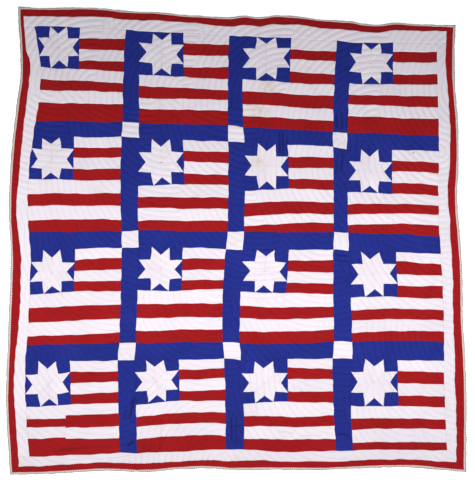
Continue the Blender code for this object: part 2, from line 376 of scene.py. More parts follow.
# Corners of the binding's rounded fold: share of its width inward, and height.
BindingCorner = namedtuple("BindingCorner", "inward height")
BINDING_FOLD = (
    BindingCorner(1.00, 3.6),
    BindingCorner(0.99, 4.6),
    BindingCorner(0.90, 5.2),
    BindingCorner(0.66, 5.6),
    BindingCorner(0.36, 5.6),
    BindingCorner(0.14, 5.1),
    BindingCorner(0.03, 4.1),
    BindingCorner(0.00, 2.7),
    BindingCorner(0.04, 1.2),
    BindingCorner(0.16, 0.3),
    BindingCorner(0.40, 0.0),
    BindingCorner(0.90, 0.0),
    BindingCorner(1.00, 0.7),
)
# Distance between the fold's corners along its length.
BINDING_STEP = 6 * MM
# The fold stands out this far past the cut edge of the quilt. Along the head,
# away from its corners, it is drawn in a little and is this share narrower.
BINDING_ROLL = 2.2 * MM
HEAD_BINDING_ROLL = -0.8 * MM
HEAD_DRAWN_BACK = 0.1
HEAD_CORNER = 60 * MM
# Waves of the fold in mm: how far in and how long, and how their spacing sways.
Scallop = namedtuple("Scallop", "depth length sway sway_length")
SCALLOPS = (Scallop(0.5, 5, 2.0, 90), Scallop(0.9, 17, 3.0, 60))
# The batting's ripples in the fold: how many times shorter than on the face and
# how strong, in its width and in the height of its corners above so many mm.
WIDTH_RIPPLES = 2.3
WIDTH_WOBBLE = 150.0
HEIGHT_RIPPLES = 3.1
HEIGHT_PUCKER = 0.6
PUCKERS_ABOVE = 3.0

# A stitch in shares of its half length and half width, with heights in mm: four
# low corners and two on its ridge. No stitch lies nearer to the binding than this.
STITCH_CORNERS = (
    (-1, -1, -0.3), (-1, 1, -0.3), (1, 1, -0.3), (1, -1, -0.3), (-0.55, 0, 0.26), (0.55, 0, 0.26),
)
STITCH_FACES = ((0, 1, 2, 3), (0, 4, 1), (2, 5, 3), (1, 4, 5, 2), (3, 5, 4, 0))
STITCHES_STOP = 3 * MM

# Real threads lie 0.35 mm apart. The weave is drawn at 1.3 mm, so that it
# still shows from near by.
WEAVE_PITCH = 1.3 * MM
WEAVE_DEPTH = 0.25 * MM
# Blender's wave bands repeat each pi / 10 units at a scale of 1.
BAND_LENGTH = math.pi / 10.0
# Crinkles that washing draws up, patches that washing fades, thick places in the
# yarn, the ragged rim of a spill, and the binding's check, fading and flecks.
CRINKLE_SIZE = 11.765 * MM
CRINKLE_DEPTH = 1.6 * MM
FADED_PATCH = 142.86 * MM
SLUB_LENGTH = 3.846 * MM
SPILL_RIM = 22.222 * MM
CHECK_PITCH = 8 * MM
BINDING_FADED_PATCH = 33.333 * MM
BINDING_FLECK = 2.381 * MM
# Real plies are about 0.2 mm wide. They are drawn at 1.1 mm, so that they show.
PLY_LENGTH = 1.1111 * MM
WHITE = (1.0, 1.0, 1.0, 1.0)
# Places of a colour mix's sockets, which share their names with other kinds.
MIX_SHARE, MIX_FIRST, MIX_SECOND = 0, 6, 7
MIX_RESULT = 2

# The photograph's frame in pixels, the place in mm under the camera, and the
# height of the face, where the camera takes in the view's width.
PHOTO_WIDTH = 475
PHOTO_HEIGHT = 480
VIEW_CENTRE = (5.7, 3.3)
FACE_ABOVE_FLOOR = 4 * MM
FLOOR_REACH = 12.0
FLOOR_DROP = 0.1 * MM
# The floor glows a little, like a light table, so that it stays white.
FLOOR_GLOW = 0.3
WORLD_COLOUR = (0.68, 0.84, 1.0, 1.0)
WORLD_LIGHT = 0.25
# Sizes and places in metres, turns in degrees and powers in watts.
Light = namedtuple("Light", "name place turn size_x size_y power")
LIGHTS = (
    Light("overhead_strip", (0.0, -0.25, 1.76), (0, 0, 0), 5.0, 0.5, 70),
    Light("foot_window", (0.0, -3.4, 1.7), (55, 0, 0), 4.0, 1.4, 42),
)


def linear(hex_text):
    """An sRGB hex value as linear red, green and blue."""
    channels = [int(hex_text[place:place + 2], 16) / 255 for place in (0, 2, 4)]
    return tuple(
        value / 12.92 if value <= 0.04045 else ((value + 0.055) / 1.055) ** 2.4
        for value in channels
    )


class QuiltSizes(bpy.types.PropertyGroup):
    """Thicknesses and spacings of the cloth, the seams and the sewing."""

    sewn_height: FloatProperty(
        name="Sewn height", description="Height of the face on a line of quilting",
        default=0.0025, min=0.002, max=0.004, unit="LENGTH",
    )
    puffed_height: FloatProperty(
        name="Puffed height", description="Height of the face between two lines of quilting",
        default=0.0050, min=0.003, max=0.008, unit="LENGTH",
    )
    quilting_pitch: FloatProperty(
        name="Quilting pitch", description="Distance from one line of quilting to the next",
        default=0.0265, min=0.02, max=0.05, unit="LENGTH",
    )
    seam_depth: FloatProperty(
        name="Seam depth", description="How deep a patch's edge turns down into its seam",
        default=0.0004, min=0.0002, max=0.002, unit="LENGTH",
    )
    seam_roll: FloatProperty(
        name="Seam roll", description="Width over which a patch's edge turns down",
        default=0.0018, min=0.001, max=0.004, unit="LENGTH",
    )
    mesh_step: FloatProperty(
        name="Mesh step", description="Distance between points of the cloth",
        default=0.0068, min=0.005, max=0.02, unit="LENGTH",
    )
    binding_width: FloatProperty(
        name="Binding width", description="Finished width of the binding on the face",
        default=0.0084, min=0.006, max=0.015, unit="LENGTH",
    )
    stitch_pitch: FloatProperty(
        name="Stitch pitch", description="Distance from one quilting stitch to the next",
        default=0.0056, min=0.003, max=0.01, unit="LENGTH",
    )
    stitch_length: FloatProperty(
        name="Stitch length", description="Length of thread that shows in one stitch",
        default=0.0026, min=0.001, max=0.006, unit="LENGTH",
    )
    thread_width: FloatProperty(
        name="Thread width", description="Width of the quilting thread as it lies",
        default=0.00026, min=0.0002, max=0.001, unit="LENGTH",
    )


def cloth_colour(name, description, hex_text):
    """A colour that the panel shows, with its default from a hex value."""
    return FloatVectorProperty(
        name=name, description=description, default=linear(hex_text),
        size=3, min=0.0, max=1.0, subtype="COLOR",
    )


class QuiltColours(bpy.types.PropertyGroup):
    """Dyes and prints of the cloths and the thread."""

    red: cloth_colour("Red", "Dyed cotton of the red border and stripes", "940409")
    blue: cloth_colour("Blue", "Dyed cotton of the cantons and sashing", "17247C")
    white: cloth_colour("White", "Bleached cotton of the stars, stripes and border", "DFD4D9")
    stain: cloth_colour("Stain", "Old spill marks on the white cotton", "C6B08E")
    backing: cloth_colour("Backing", "Unbleached cotton under the quilt", "C8BCA6")
    thread: cloth_colour("Thread", "Cotton quilting thread", "8E8790")
    loose_thread: cloth_colour("Loose thread", "End of dark thread caught in a stripe", "2E2830")
    print_ground: cloth_colour("Print ground", "Ground of the binding's small print", "DECAC2")
    print_mark: cloth_colour("Print mark", "Fine dark marks of the binding's print", "66554E")


class QuiltStage(bpy.types.PropertyGroup):
    """Floor, light and camera."""

    floor: cloth_colour("Floor", "Plain pale floor", "FAFAFA")
    view_width: FloatProperty(
        name="View width", description="Width of floor that the camera takes in",
        default=2.0995, min=0.5, max=10.0, unit="LENGTH",
    )
    lens: FloatProperty(
        name="Lens", description="Focal length in millimetres",
        default=50.0, min=20.0, max=200.0,
    )


def spaced(start, end, step):
    """Points on a straight line from start to end, no more than a step apart."""
    start = np.array(start, dtype=float)
    end = np.array(end, dtype=float)
    count = max(1, int(math.ceil(np.linalg.norm(end - start) / step)))
    shares = np.linspace(0.0, 1.0, count + 1)[:, None]
    return start + (end - start) * shares


def closed_outline(runs):
    """Join runs of points into one counter-clockwise outline with no doubled points."""
    points = np.vstack([np.atleast_2d(run) for run in runs])
    gaps = np.linalg.norm(points - np.roll(points, 1, axis=0), axis=1)
    points = points[gaps > DOUBLED]
    following = np.roll(points, -1, axis=0)
    area = np.sum(points[:, 0] * following[:, 1] - points[:, 1] * following[:, 0])
    return points if area > 0.0 else points[::-1]


def inward_steps(outline, longest=2.8):
    """For each point of an outline, the step that moves its edges inward by one unit."""
    before = outline - np.roll(outline, 1, axis=0)
    after = np.roll(outline, -1, axis=0) - outline
    before = before / np.linalg.norm(before, axis=1)[:, None]
    after = after / np.linalg.norm(after, axis=1)[:, None]
    inward = np.column_stack((-before[:, 1] - after[:, 1], before[:, 0] + after[:, 0]))
    squares = np.maximum(np.sum(inward * inward, axis=1), 4.0 / longest ** 2)
    return inward * (2.0 / squares)[:, None]


def straight_outline(corners, step):
    """An outline with straight sides from corner to corner."""
    sides = zip(corners, corners[1:] + corners[:1])
    return closed_outline([spaced(start, end, step) for start, end in sides])


def inside(points, outline):
    """Which points lie inside a closed outline."""
    hits = np.zeros(len(points), dtype=bool)
    for start, end in zip(outline, np.roll(outline, -1, axis=0)):
        crosses = (start[1] > points[:, 1]) != (end[1] > points[:, 1])
        if crosses.any():
            share = (points[:, 1] - start[1]) / (end[1] - start[1])
            hits ^= crosses & (points[:, 0] < start[0] + share * (end[0] - start[0]))
    return hits


def eased(values):
    """Shares from 0 to 1, eased at both ends and held outside them."""
    held = np.clip(values, 0.0, 1.0)
    return held * held * (3.0 - 2.0 * held)


def bowed(most, shares):
    """How far a bowed line is off at shares of its length, and at its middle the most."""
    return 4.0 * most * shares * (1.0 - shares)


def evenly(start, end, step):
    """Places from start to end at even steps, no longer than the one given."""
    return np.linspace(start, end, max(2, int(math.ceil(abs(end - start) / step)) + 1))


def smooth_run(points, step):
    """Points at even steps on a smooth curve through the ones given."""
    gaps = np.linalg.norm(np.diff(points, axis=0), axis=1)
    along = np.concatenate(([0.0], np.cumsum(gaps)))
    slopes = np.gradient(points, along, axis=0)
    places = np.linspace(0.0, along[-1], int(round(along[-1] / step)) + 1)
    spans = np.clip(np.searchsorted(along, places, side="right") - 1, 0, len(gaps) - 1)
    part = ((places - along[spans]) / gaps[spans])[:, None]
    ahead = part * part * (3.0 - 2.0 * part)
    leave = part * (1.0 - part) ** 2
    arrive = part * part * (part - 1.0)
    bend = gaps[spans][:, None] * (leave * slopes[spans] + arrive * slopes[spans + 1])
    return points[spans] * (1.0 - ahead) + points[spans + 1] * ahead + bend


def bound_side(side):
    """The finished edge along one side, from the model's binding, clockwise."""
    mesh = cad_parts["binding_" + side].data
    corners = np.array([tuple(vertex.co) for vertex in mesh.vertices])
    high = corners[:, 2] > corners[:, 2].max() - 0.1 * MM
    corners = np.unique(np.round(corners[high][:, :2], 5), axis=0)
    run, out = (0, 1) if side in ("head", "foot") else (1, 0)
    corners = corners[np.argsort(corners[:, run])]
    breaks = np.flatnonzero(np.diff(corners[:, run]) > 20 * MM) + 1
    outer = [group[np.argmax(np.abs(group[:, out]))] for group in np.split(corners, breaks)]
    outer = np.array(outer)
    return outer if side in ("head", "left") else outer[::-1]


@lru_cache(maxsize=None)
def finished_edge(step):
    """The quilt's edge as four smooth runs that meet at the corners, clockwise."""
    runs = [smooth_run(bound_side(side), step) for side in SIDES]
    for place, run in enumerate(runs):
        following = runs[(place + 1) % len(runs)]
        corner = (run[-1] + following[0]) / 2.0
        run[-1] = corner
        following[0] = corner
    return runs


def moved_in(run, wide):
    """A clockwise run moved inward by one width or by a width for each point."""
    ahead = np.gradient(run, axis=0)
    ahead = ahead / np.linalg.norm(ahead, axis=1)[:, None]
    inward = np.column_stack((ahead[:, 1], -ahead[:, 0]))
    return run + inward * np.reshape(wide, (-1, 1))


def edge_outline():
    """The quilt's finished edge as one outline."""
    return closed_outline([run[:-1] for run in finished_edge(EDGE_STEP)])


@lru_cache(maxsize=None)
def border_seam(step):
    """The seam between the red and the white border as four runs, clockwise."""
    moved = []
    for side, run in zip(SIDES, finished_edge(step)):
        axis = 0 if side in ("head", "foot") else 1
        rows = sorted(BORDER_WIDTHS[side])
        places = [row.at * MM for row in rows]
        widths = [row.wide * MM for row in rows]
        wide = np.interp(run[:, axis], places, widths)
        moved.append(moved_in(run, wide))
    runs = []
    for place, run in enumerate(moved):
        axis = 0 if SIDES[place] in ("head", "foot") else 1
        start = meeting(moved[place - 1][-3:], run[:3])
        end = meeting(run[-3:], moved[(place + 1) % len(moved)][:3])
        low, high = sorted((start[axis], end[axis]))
        kept = (run[:, axis] > low + step / 2) & (run[:, axis] < high - step / 2)
        runs.append(np.vstack((start, run[kept], end)))
    return runs


def meeting(first, second):
    """Where the lines through two short runs meet."""
    start, along = first[0], first[-1] - first[0]
    other, beside = second[0], second[-1] - second[0]
    shares = np.linalg.solve(np.column_stack((along, -beside)), other - start)
    return start + along * shares[0]


def crossing(up, across):
    """Where an up-and-down seam line meets one across."""
    field = 3 * (across // 2) + 2 * (across % 2)
    return np.array((UP_SEAMS[up][field], CROSS_SEAMS[across].at_up_seams[up])) * MM


def up_x(up, row, heights):
    """A seam line's place at some heights in a row of blocks, on a curve through three."""
    head, foot = crossing(up, 2 * row), crossing(up, 2 * row + 1)
    middle = (LEFT_EDGE_MIDDLES if up == 0 else ROW_MIDDLES)[row] * MM
    curve = np.polyfit((head[1], middle, foot[1]),
                       (head[0], UP_SEAMS[up][3 * row + 1] * MM, foot[0]), 2)
    return np.polyval(curve, heights)


def up_run(up, row, start, end, step):
    """Points of an up-and-down seam line between two heights."""
    heights = evenly(start, end, step)
    return np.column_stack((up_x(up, row, heights), heights))


def across_run(across, column, start, end, step):
    """Points of a seam line across a column of blocks between two places."""
    left, right = crossing(2 * column, across), crossing(2 * column + 1, across)
    places = evenly(start, end, step)
    shares = (places - left[0]) / (right[0] - left[0])
    bow = CROSS_SEAMS[across].bows[column] * MM
    heights = left[1] + (right[1] - left[1]) * shares + bowed(bow, shares)
    return np.column_stack((places, heights))


def across_all(across, step):
    """A seam line across the whole pieced centre, from left to right."""
    runs = []
    for column in range(4):
        left, right = crossing(2 * column, across), crossing(2 * column + 1, across)
        runs.append(across_run(across, column, left[0], right[0], step))
        if column < 3:
            runs.append(spaced(right, crossing(2 * column + 2, across), step)[1:-1])
    return np.vstack(runs)


def up_all(up, step):
    """A seam line down the whole pieced centre, from head to foot."""
    runs = []
    for row in range(4):
        head, foot = crossing(up, 2 * row), crossing(up, 2 * row + 1)
        runs.append(up_run(up, row, head[1], foot[1], step))
        if row < 3:
            runs.append(spaced(foot, crossing(up, 2 * row + 2), step)[1:-1])
    return np.vstack(runs)


def fan_table():
    """The fans' centres, facing directions and reaches as arrays in metres."""
    centres = np.array([(fan.x, fan.y) for fan in FANS]) * MM
    angles = np.radians([fan.faces for fan in FANS])
    facing = np.column_stack((np.cos(angles), np.sin(angles)))
    return centres, facing, np.array([fan.reach for fan in FANS]) * MM


def owning_fan(points):
    """The index of the fan that each point is quilted by, and its radius there."""
    centres, facing, reaches = fan_table()
    spread = math.cos(math.radians(FAN_HALF_SPREAD))
    away = points[:, None, :] - centres[None, :, :]
    radii = np.linalg.norm(away, axis=2)
    faced = np.sum(away * facing[None, :, :], axis=2) >= spread * radii
    covers = faced & (radii <= reaches)
    nearest = np.where(faced, radii, radii + FARTHEST_ARC).argmin(axis=1)
    owner = np.where(covers.any(axis=1), covers.argmax(axis=1), nearest)
    return owner, radii[np.arange(len(points)), owner]


@lru_cache(maxsize=None)
def ripple_waves():
    """Wave numbers, phases and heights of the slow unevenness of the batting."""
    draw = random.Random(RIPPLE_SEED)
    waves = []
    for ripple in RIPPLES:
        for _ in range(RIPPLES_OF_EACH_LENGTH):
            angle = draw.uniform(0.0, 2.0 * math.pi)
            number = 2.0 * math.pi / (ripple.length * draw.uniform(0.8, 1.25))
            waves.append((number * math.cos(angle), number * math.sin(angle),
                          draw.uniform(0.0, 2.0 * math.pi), ripple.height * MM / 2.0))
    return waves


def ripples(points):
    """Slow unevenness of the batting and small puckers of the cloth."""
    total = np.zeros(len(points))
    for across, up, phase, height in ripple_waves():
        total += height * np.sin(points[:, 0] * across + points[:, 1] * up + phase)
    return total


@lru_cache(maxsize=None)
def drift_waves():
    """Wave numbers, phases and reaches of the wander of hand-sewn seams."""
    draw = random.Random(DRIFT_SEED)
    waves = []
    for drift in DRIFTS:
        for _ in range(DRIFTS_OF_EACH_LENGTH):
            angle = draw.uniform(0.0, 2.0 * math.pi)
            moves = draw.uniform(0.0, 2.0 * math.pi)
            number = 2.0 * math.pi / (drift.length * draw.uniform(0.8, 1.25))
            reach = drift.reach * MM
            waves.append((number * math.cos(angle), number * math.sin(angle),
                          draw.uniform(0.0, 2.0 * math.pi),
                          reach * math.cos(moves), reach * math.sin(moves)))
    return waves


def drifted(points):
    """Points moved as hand-sewn seams wander, but not beside the finished edge."""
    moved = np.zeros(points.shape)
    for across, up, phase, right, ahead in drift_waves():
        swing = np.sin(points[:, 0] * across + points[:, 1] * up + phase)
        moved += swing[:, None] * (right, ahead)
    grown = eased((edge_distance(points) - DRIFT_STARTS) / DRIFT_GROWS)
    return points + moved * grown[:, None]


def crease_shares(points, crease):
    """How much of one crease's lift each point has, from 0 to 1."""
    start = np.array((crease.x0, crease.y0)) * MM
    along = np.array((crease.x1, crease.y1)) * MM - start
    length = np.linalg.norm(along)
    along = along / length
    share = np.sum((points - start) * along, axis=1) / length
    aside = (points[:, 0] - start[0]) * -along[1] + (points[:, 1] - start[1]) * along[0]
    aside = aside - bowed(crease.bend * MM, share)
    ends = eased(share / CREASE_END) * eased((1.0 - share) / CREASE_END)
    return ends * np.exp(-(aside / (crease.wide * MM)) ** 2)


def creases(points):
    """Height that the creases add."""
    total = np.zeros(len(points))
    for crease in CREASES:
        total += crease.lift * MM * crease_shares(points, crease)
    return total


def crease_points():
    """Points along the creases and beside them, so that the cloth can follow."""
    rows = []
    for crease in CREASES:
        start = np.array((crease.x0, crease.y0)) * MM
        along = np.array((crease.x1, crease.y1)) * MM - start
        share = np.linspace(0.0, 1.0, int(np.linalg.norm(along) / CREASE_STEP) + 2)[:, None]
        aside = np.array((-along[1], along[0])) / np.linalg.norm(along)
        bend = bowed(aside * crease.bend * MM, share)
        for offset in CREASE_ROWS:
            rows.append(start + along * share + bend + aside * crease.wide * MM * offset)
    return np.vstack(rows)


def painted_shade(points, pitch):
    """How much painted shade darkens the sewn lines and the creases, from 0 to 1."""
    _, radii = owning_fan(points)
    beside = np.abs(radii - pitch * np.round(radii / pitch))
    total = LINE_PAINTED_SHADE * np.exp(-(beside / LINE_PAINTED_SHADE_REACH) ** 2)
    for crease in CREASES:
        if crease.lift < -SHADED_CREASE_DEPTH:
            share = -crease.lift / FULLY_SHADED_CREASE_DEPTH
            total = np.maximum(total, share * crease_shares(points, crease))
    return np.minimum(total, 1.0)


def edge_distance(points):
    """Distance from the quilt's finished edge, up to a tenth of a metre."""
    edge = np.vstack(finished_edge(EDGE_STEP))
    lowest = np.full(len(points), NEAR_EDGE)
    outer = np.abs(points) > (MIDDLE_HALF_WIDTH, MIDDLE_HALF_LENGTH)
    near = np.flatnonzero(outer.any(axis=1))
    # A few thousand points at a time, to keep the table of distances small.
    for block in np.array_split(near, max(1, len(near) // 4000)):
        gaps = np.linalg.norm(points[block][:, None, :] - edge[None, :, :], axis=2)
        lowest[block] = np.minimum(gaps.min(axis=1), NEAR_EDGE)
    return lowest


def puff(points, pitch):
    """How far the cloth puffs up between the sewn arcs, from 0 to 1."""
    owner, radii = owning_fan(points)
    height = np.abs(np.sin(math.pi * radii / pitch)) ** PUFF_POWER
    angles = np.radians(np.arange(0.0, 360.0, 60.0))
    beside = np.zeros(len(points))
    for angle in angles:
        reach = FAN_EDGE_REACH * np.array((math.cos(angle), math.sin(angle)))
        beside += owning_fan(points + reach)[0] != owner
    return height * (1.0 - FAN_EDGE_DROP * eased(beside / (len(angles) / 2.0)))


def face_height(points, sizes):
    """Height of the quilt's face: quilting, puckers and creases, low at the binding."""
    rise = sizes.puffed_height - sizes.sewn_height
    height = sizes.sewn_height + rise * puff(points, sizes.quilting_pitch)
    height = height + ripples(points) + creases(points)
    inner = eased((edge_distance(points) - sizes.binding_width) / FACE_RISES)
    return np.maximum(FACE_AT_BINDING + (height - FACE_AT_BINDING) * inner, LOWEST_FACE)


@lru_cache(maxsize=None)
def quilting_points(pitch, step, phases=RING_PHASES):
    """Points that follow the sewn arcs and the puffs between them."""
    centres, _, _ = fan_table()
    found = []
    for index, centre in enumerate(centres):
        rings = []
        for arc in range(int(FARTHEST_ARC / pitch)):
            for phase in phases:
                radius = (arc + phase) * pitch
                if radius < step:
                    continue
                count = int(round(2.0 * math.pi * radius / step))
                angles = (np.arange(count) + 0.5 * (arc % 2)) * 2.0 * math.pi / count
                rings.append(radius * np.column_stack((np.cos(angles), np.sin(angles))))
        points = centre + np.vstack(rings)
        points = points[np.max(np.abs(points), axis=1) < FIELD_REACH]
        found.append(points[owning_fan(points)[0] == index])
    points = np.vstack([crease_points()] + found)
    cells = np.floor(points / CLOSEST).astype(int)
    _, first = np.unique(cells, axis=0, return_index=True)
    return points[np.sort(first)]


def near_points(points, outline, margin):
    """The points that lie inside an outline, at least a margin from its edge."""
    low, high = outline.min(axis=0), outline.max(axis=0)
    boxed = points[np.all((points > low) & (points < high), axis=1)]
    return boxed[inside(boxed, outline + inward_steps(outline) * margin)]


def triangles_within(border, points):
    """Triangles that fill a border loop with points inside it, and all their corners."""
    count = len(border)
    given = [tuple(point) for point in np.vstack((border, points))]
    around = [(place, (place + 1) % count) for place in range(count)]
    result = delaunay_2d_cdt(given, around, [list(range(count))], 1, 1e-7, True)
    laid = np.array([tuple(point) for point in result[0]])
    triangles = np.array(result[2])
    triangles = triangles[inside(laid[triangles].mean(axis=1), border)]
    edge_numbers = np.full(count, -1)
    for place, sources in enumerate(result[3]):
        for source in sources:
            if source < count:
                edge_numbers[source] = place
    return laid, triangles, edge_numbers


class ClothMesh:
    """Corners, faces and shades of many pieces of one cloth, gathered into one mesh."""

    def __init__(self, seed=0):
        self.corners = []
        self.faces = []
        self.shades = []
        self.count = 0
        self.draw = random.Random(seed)

    def add(self, corners, faces, shade=0.0):
        """Add one piece, with a shade from -1 to 1 that sets it off from the others."""
        self.corners.append(corners)
        self.faces.extend(tuple(number + self.count for number in face) for face in faces)
        self.shades.append(np.full(len(corners), shade))
        self.count += len(corners)

    def add_patch(self, outline, sizes, depth=1.0):
        """One patch: a puffed face whose edge rolls down into its seam, and a flat base."""
        count = len(outline)
        outline = drifted(outline)
        inner = outline + inward_steps(outline) * sizes.seam_roll
        cloud = quilting_points(sizes.quilting_pitch, sizes.mesh_step)
        points = near_points(cloud, outline, sizes.seam_roll + ROLL_CLEARANCE)
        laid, triangles, edge_numbers = triangles_within(inner, points)
        face = face_height(laid, sizes)
        turned = face_height(outline, sizes) - sizes.seam_depth * depth
        turned = np.maximum(turned, PATCH_BASE + LEAST_PATCH_EDGE)
        base = np.column_stack((outline, np.full(count, PATCH_BASE)))
        edge = np.column_stack((outline, turned))
        top = np.column_stack((laid, face))
        faces = [tuple(range(count - 1, -1, -1))]
        for place in range(count):
            after = (place + 1) % count
            rolled = 2 * count + edge_numbers[place]
            rolled_after = 2 * count + edge_numbers[after]
            faces.append((place, after, count + after, count + place))
            faces.append((count + place, count + after, rolled_after, rolled))
        faces.extend(map(tuple, triangles + 2 * count))
        self.add(np.vstack((base, edge, top)), faces, self.draw.uniform(-1.0, 1.0))

    def finish(self, name, material, slot="pieced_cotton", node="quilt_body"):
        """Make the mesh, mark its stains and give it to the frame."""
        corners = np.vstack(self.corners)
        mesh = bpy.data.meshes.new(name)
        mesh.from_pydata(corners.tolist(), [], self.faces)
        mesh.shade_smooth()
        mesh.materials.append(material)
        give_values(mesh, "shade", np.concatenate(self.shades))
        give_values(mesh, "stain", stains(corners[:, :2]))
        # Painted shade along the sewn lines and in the deep creases.
        pitch = bpy.context.scene.quilt_sizes.quilting_pitch
        give_values(mesh, "painted_shade", painted_shade(corners[:, :2], pitch))
        item = bpy.data.objects.new(name, mesh)
        bpy.context.scene.collection.objects.link(item)
        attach(item, "root")
        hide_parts(node)
        return item


def give_values(mesh, name, values):
    """Keep one number for each vertex under a name that materials can read."""
    kept = mesh.attributes.new(name, "FLOAT", "POINT")
    kept.data.foreach_set("value", np.asarray(values, dtype=np.float32))


def stains(points):
    """How much of a spill mark lies on each point, from 0 to 1."""
    total = np.zeros(len(points))
    for mark in MARKS:
        across = (points[:, 0] - mark.x * MM) / (mark.across * MM / 2.0)
        down = (points[:, 1] - mark.y * MM) / (mark.down * MM / 2.0)
        total = np.maximum(total, mark.strength * np.exp(-(across ** 2 + down ** 2)))
    return total


def add_node(tree, kind, values=None, links=None, **settings):
    """Add a node, set its properties and sockets, and link outputs to its inputs."""
    node = tree.nodes.new(kind)
    for name, value in settings.items():
        setattr(node, name, value)
    for name, value in (values or {}).items():
        node.inputs[name].default_value = value
    for name, output in (links or {}).items():
        tree.links.new(output, node.inputs[name])
    return node


def empty_material(name):
    """A new material with no nodes, and its node tree."""
    material = bpy.data.materials.new(name)
    material.use_nodes = True
    material.node_tree.nodes.clear()
    return material, material.node_tree


def opaque(colour):
    """A colour with its alpha."""
    return (*colour, 1.0)


def weave_bump(tree, place):
    """Fine over-and-under relief of a plain weave, with uneven threads."""
    heights = []
    for direction in ("X", "Y"):
        bands = add_node(
            tree, "ShaderNodeTexWave",
            {
                "Scale": BAND_LENGTH / WEAVE_PITCH,
                "Distortion": 1.6, "Detail": 1.0, "Detail Scale": 0.6,
            },
            {"Vector": place}, wave_type="BANDS", bands_direction=direction,
        )
        heights.append(bands.outputs["Fac"])
    crossed = add_node(
        tree, "ShaderNodeMath", None, {0: heights[0], 1: heights[1]}, operation="MULTIPLY",
    )
    return add_node(
        tree, "ShaderNodeBump", {"Strength": 0.35, "Distance": WEAVE_DEPTH},
        {"Height": crossed.outputs["Value"]},
    ).outputs["Normal"]


def crinkle_bump(tree, place, normal):
    """Soft crinkles about 12 mm across, which washing draws up between the stitches."""
    crinkles = add_node(
        tree, "ShaderNodeTexNoise",
        {"Scale": 1.0 / CRINKLE_SIZE, "Detail": 3.0, "Roughness": 0.55}, {"Vector": place},
    ).outputs["Fac"]
    return add_node(
        tree, "ShaderNodeBump", {"Strength": 0.7, "Distance": CRINKLE_DEPTH},
        {"Height": crinkles, "Normal": normal},
    ).outputs["Normal"]


def woven_cotton(name, colour, stain=None, *, fade, soil):
    """Plain-woven calico: matt, a little furry, faded unevenly by washing.

    Fade is how far its colour strays to each side. The last setting is how much
    darker the cloth is painted where it is sewn down or creased: painted shade.
    """
    material, tree = empty_material(name)
    place = add_node(tree, "ShaderNodeTexCoord").outputs["Object"]
    washed = add_node(
        tree, "ShaderNodeTexNoise",
        {"Scale": 1.0 / FADED_PATCH, "Detail": 4.0, "Roughness": 0.6}, {"Vector": place},
    ).outputs["Fac"]
    slubs = add_node(
        tree, "ShaderNodeTexNoise",
        {"Scale": 1.0 / SLUB_LENGTH, "Detail": 2.0, "Roughness": 0.5}, {"Vector": place},
    ).outputs["Fac"]
    shade = add_node(tree, "ShaderNodeAttribute", attribute_name="shade").outputs["Fac"]
    # Painted shade along the sewn lines and in the creases.
    painted_shade_share = add_node(tree, "ShaderNodeAttribute", attribute_name="painted_shade").outputs["Fac"]
    faded = add_node(
        tree, "ShaderNodeMapRange", {"From Min": 0.3, "From Max": 0.7}, {"Value": washed},
    ).outputs["Result"]
    by_patch = add_node(
        tree, "ShaderNodeMapRange", {"From Min": -1.0, "From Max": 1.0}, {"Value": shade},
    ).outputs["Result"]
    deep = opaque(value * (1.0 - fade) for value in colour)
    worn = opaque(min(1.0, value * (1.0 + fade) + 0.02 * fade) for value in colour)
    result = add_node(
        tree, "ShaderNodeMix", {MIX_FIRST: deep, MIX_SECOND: worn}, {MIX_SHARE: faded},
        data_type="RGBA",
    ).outputs[MIX_RESULT]
    # Tints for each patch's own tone, for thick places in the yarn, and last painted shade in the
    # sewn lines and creases.
    for share, at_least, at_most in (
        (by_patch, (0.94, 0.94, 0.95, 1.0), WHITE),
        (slubs, (0.93, 0.93, 0.93, 1.0), WHITE),
        (painted_shade_share, WHITE, opaque([1.0 - soil] * 3)),
    ):
        tint = add_node(
            tree, "ShaderNodeMix", {MIX_FIRST: at_least, MIX_SECOND: at_most},
            {MIX_SHARE: share}, data_type="RGBA",
        ).outputs[MIX_RESULT]
        result = add_node(
            tree, "ShaderNodeMix", {MIX_SHARE: 1.0}, {MIX_FIRST: result, MIX_SECOND: tint},
            data_type="RGBA", blend_type="MULTIPLY",
        ).outputs[MIX_RESULT]
    if stain is not None:
        mark = add_node(tree, "ShaderNodeAttribute", attribute_name="stain").outputs["Fac"]
        rim = add_node(
            tree, "ShaderNodeTexNoise", {"Scale": 1.0 / SPILL_RIM, "Detail": 3.0},
            {"Vector": place},
        ).outputs["Fac"]
        ragged = add_node(
            tree, "ShaderNodeMapRange",
            {"From Min": 0.35, "From Max": 0.65, "To Min": 0.4, "To Max": 1.2},
            {"Value": rim},
        ).outputs["Result"]
        share = add_node(
            tree, "ShaderNodeMath", None, {0: mark, 1: ragged},
            operation="MULTIPLY", use_clamp=True,
        ).outputs["Value"]
        result = add_node(
            tree, "ShaderNodeMix", {MIX_SECOND: opaque(stain)},
            {MIX_FIRST: result, MIX_SHARE: share}, data_type="RGBA",
        ).outputs[MIX_RESULT]
    roughness = add_node(
        tree, "ShaderNodeMapRange",
        {"From Min": 0.3, "From Max": 0.7, "To Min": 0.82, "To Max": 0.94}, {"Value": slubs},
    ).outputs["Result"]
    shader = add_node(
        tree, "ShaderNodeBsdfPrincipled",
        {"IOR": 1.5, "Metallic": 0.0, "Specular IOR Level": 0.2, "Sheen Weight": 0.03},
        {
            "Base Color": result,
            "Roughness": roughness,
            "Normal": crinkle_bump(tree, place, weave_bump(tree, place)),
        },
    )
    add_node(tree, "ShaderNodeOutputMaterial", None, {"Surface": shader.outputs["BSDF"]})
    return material


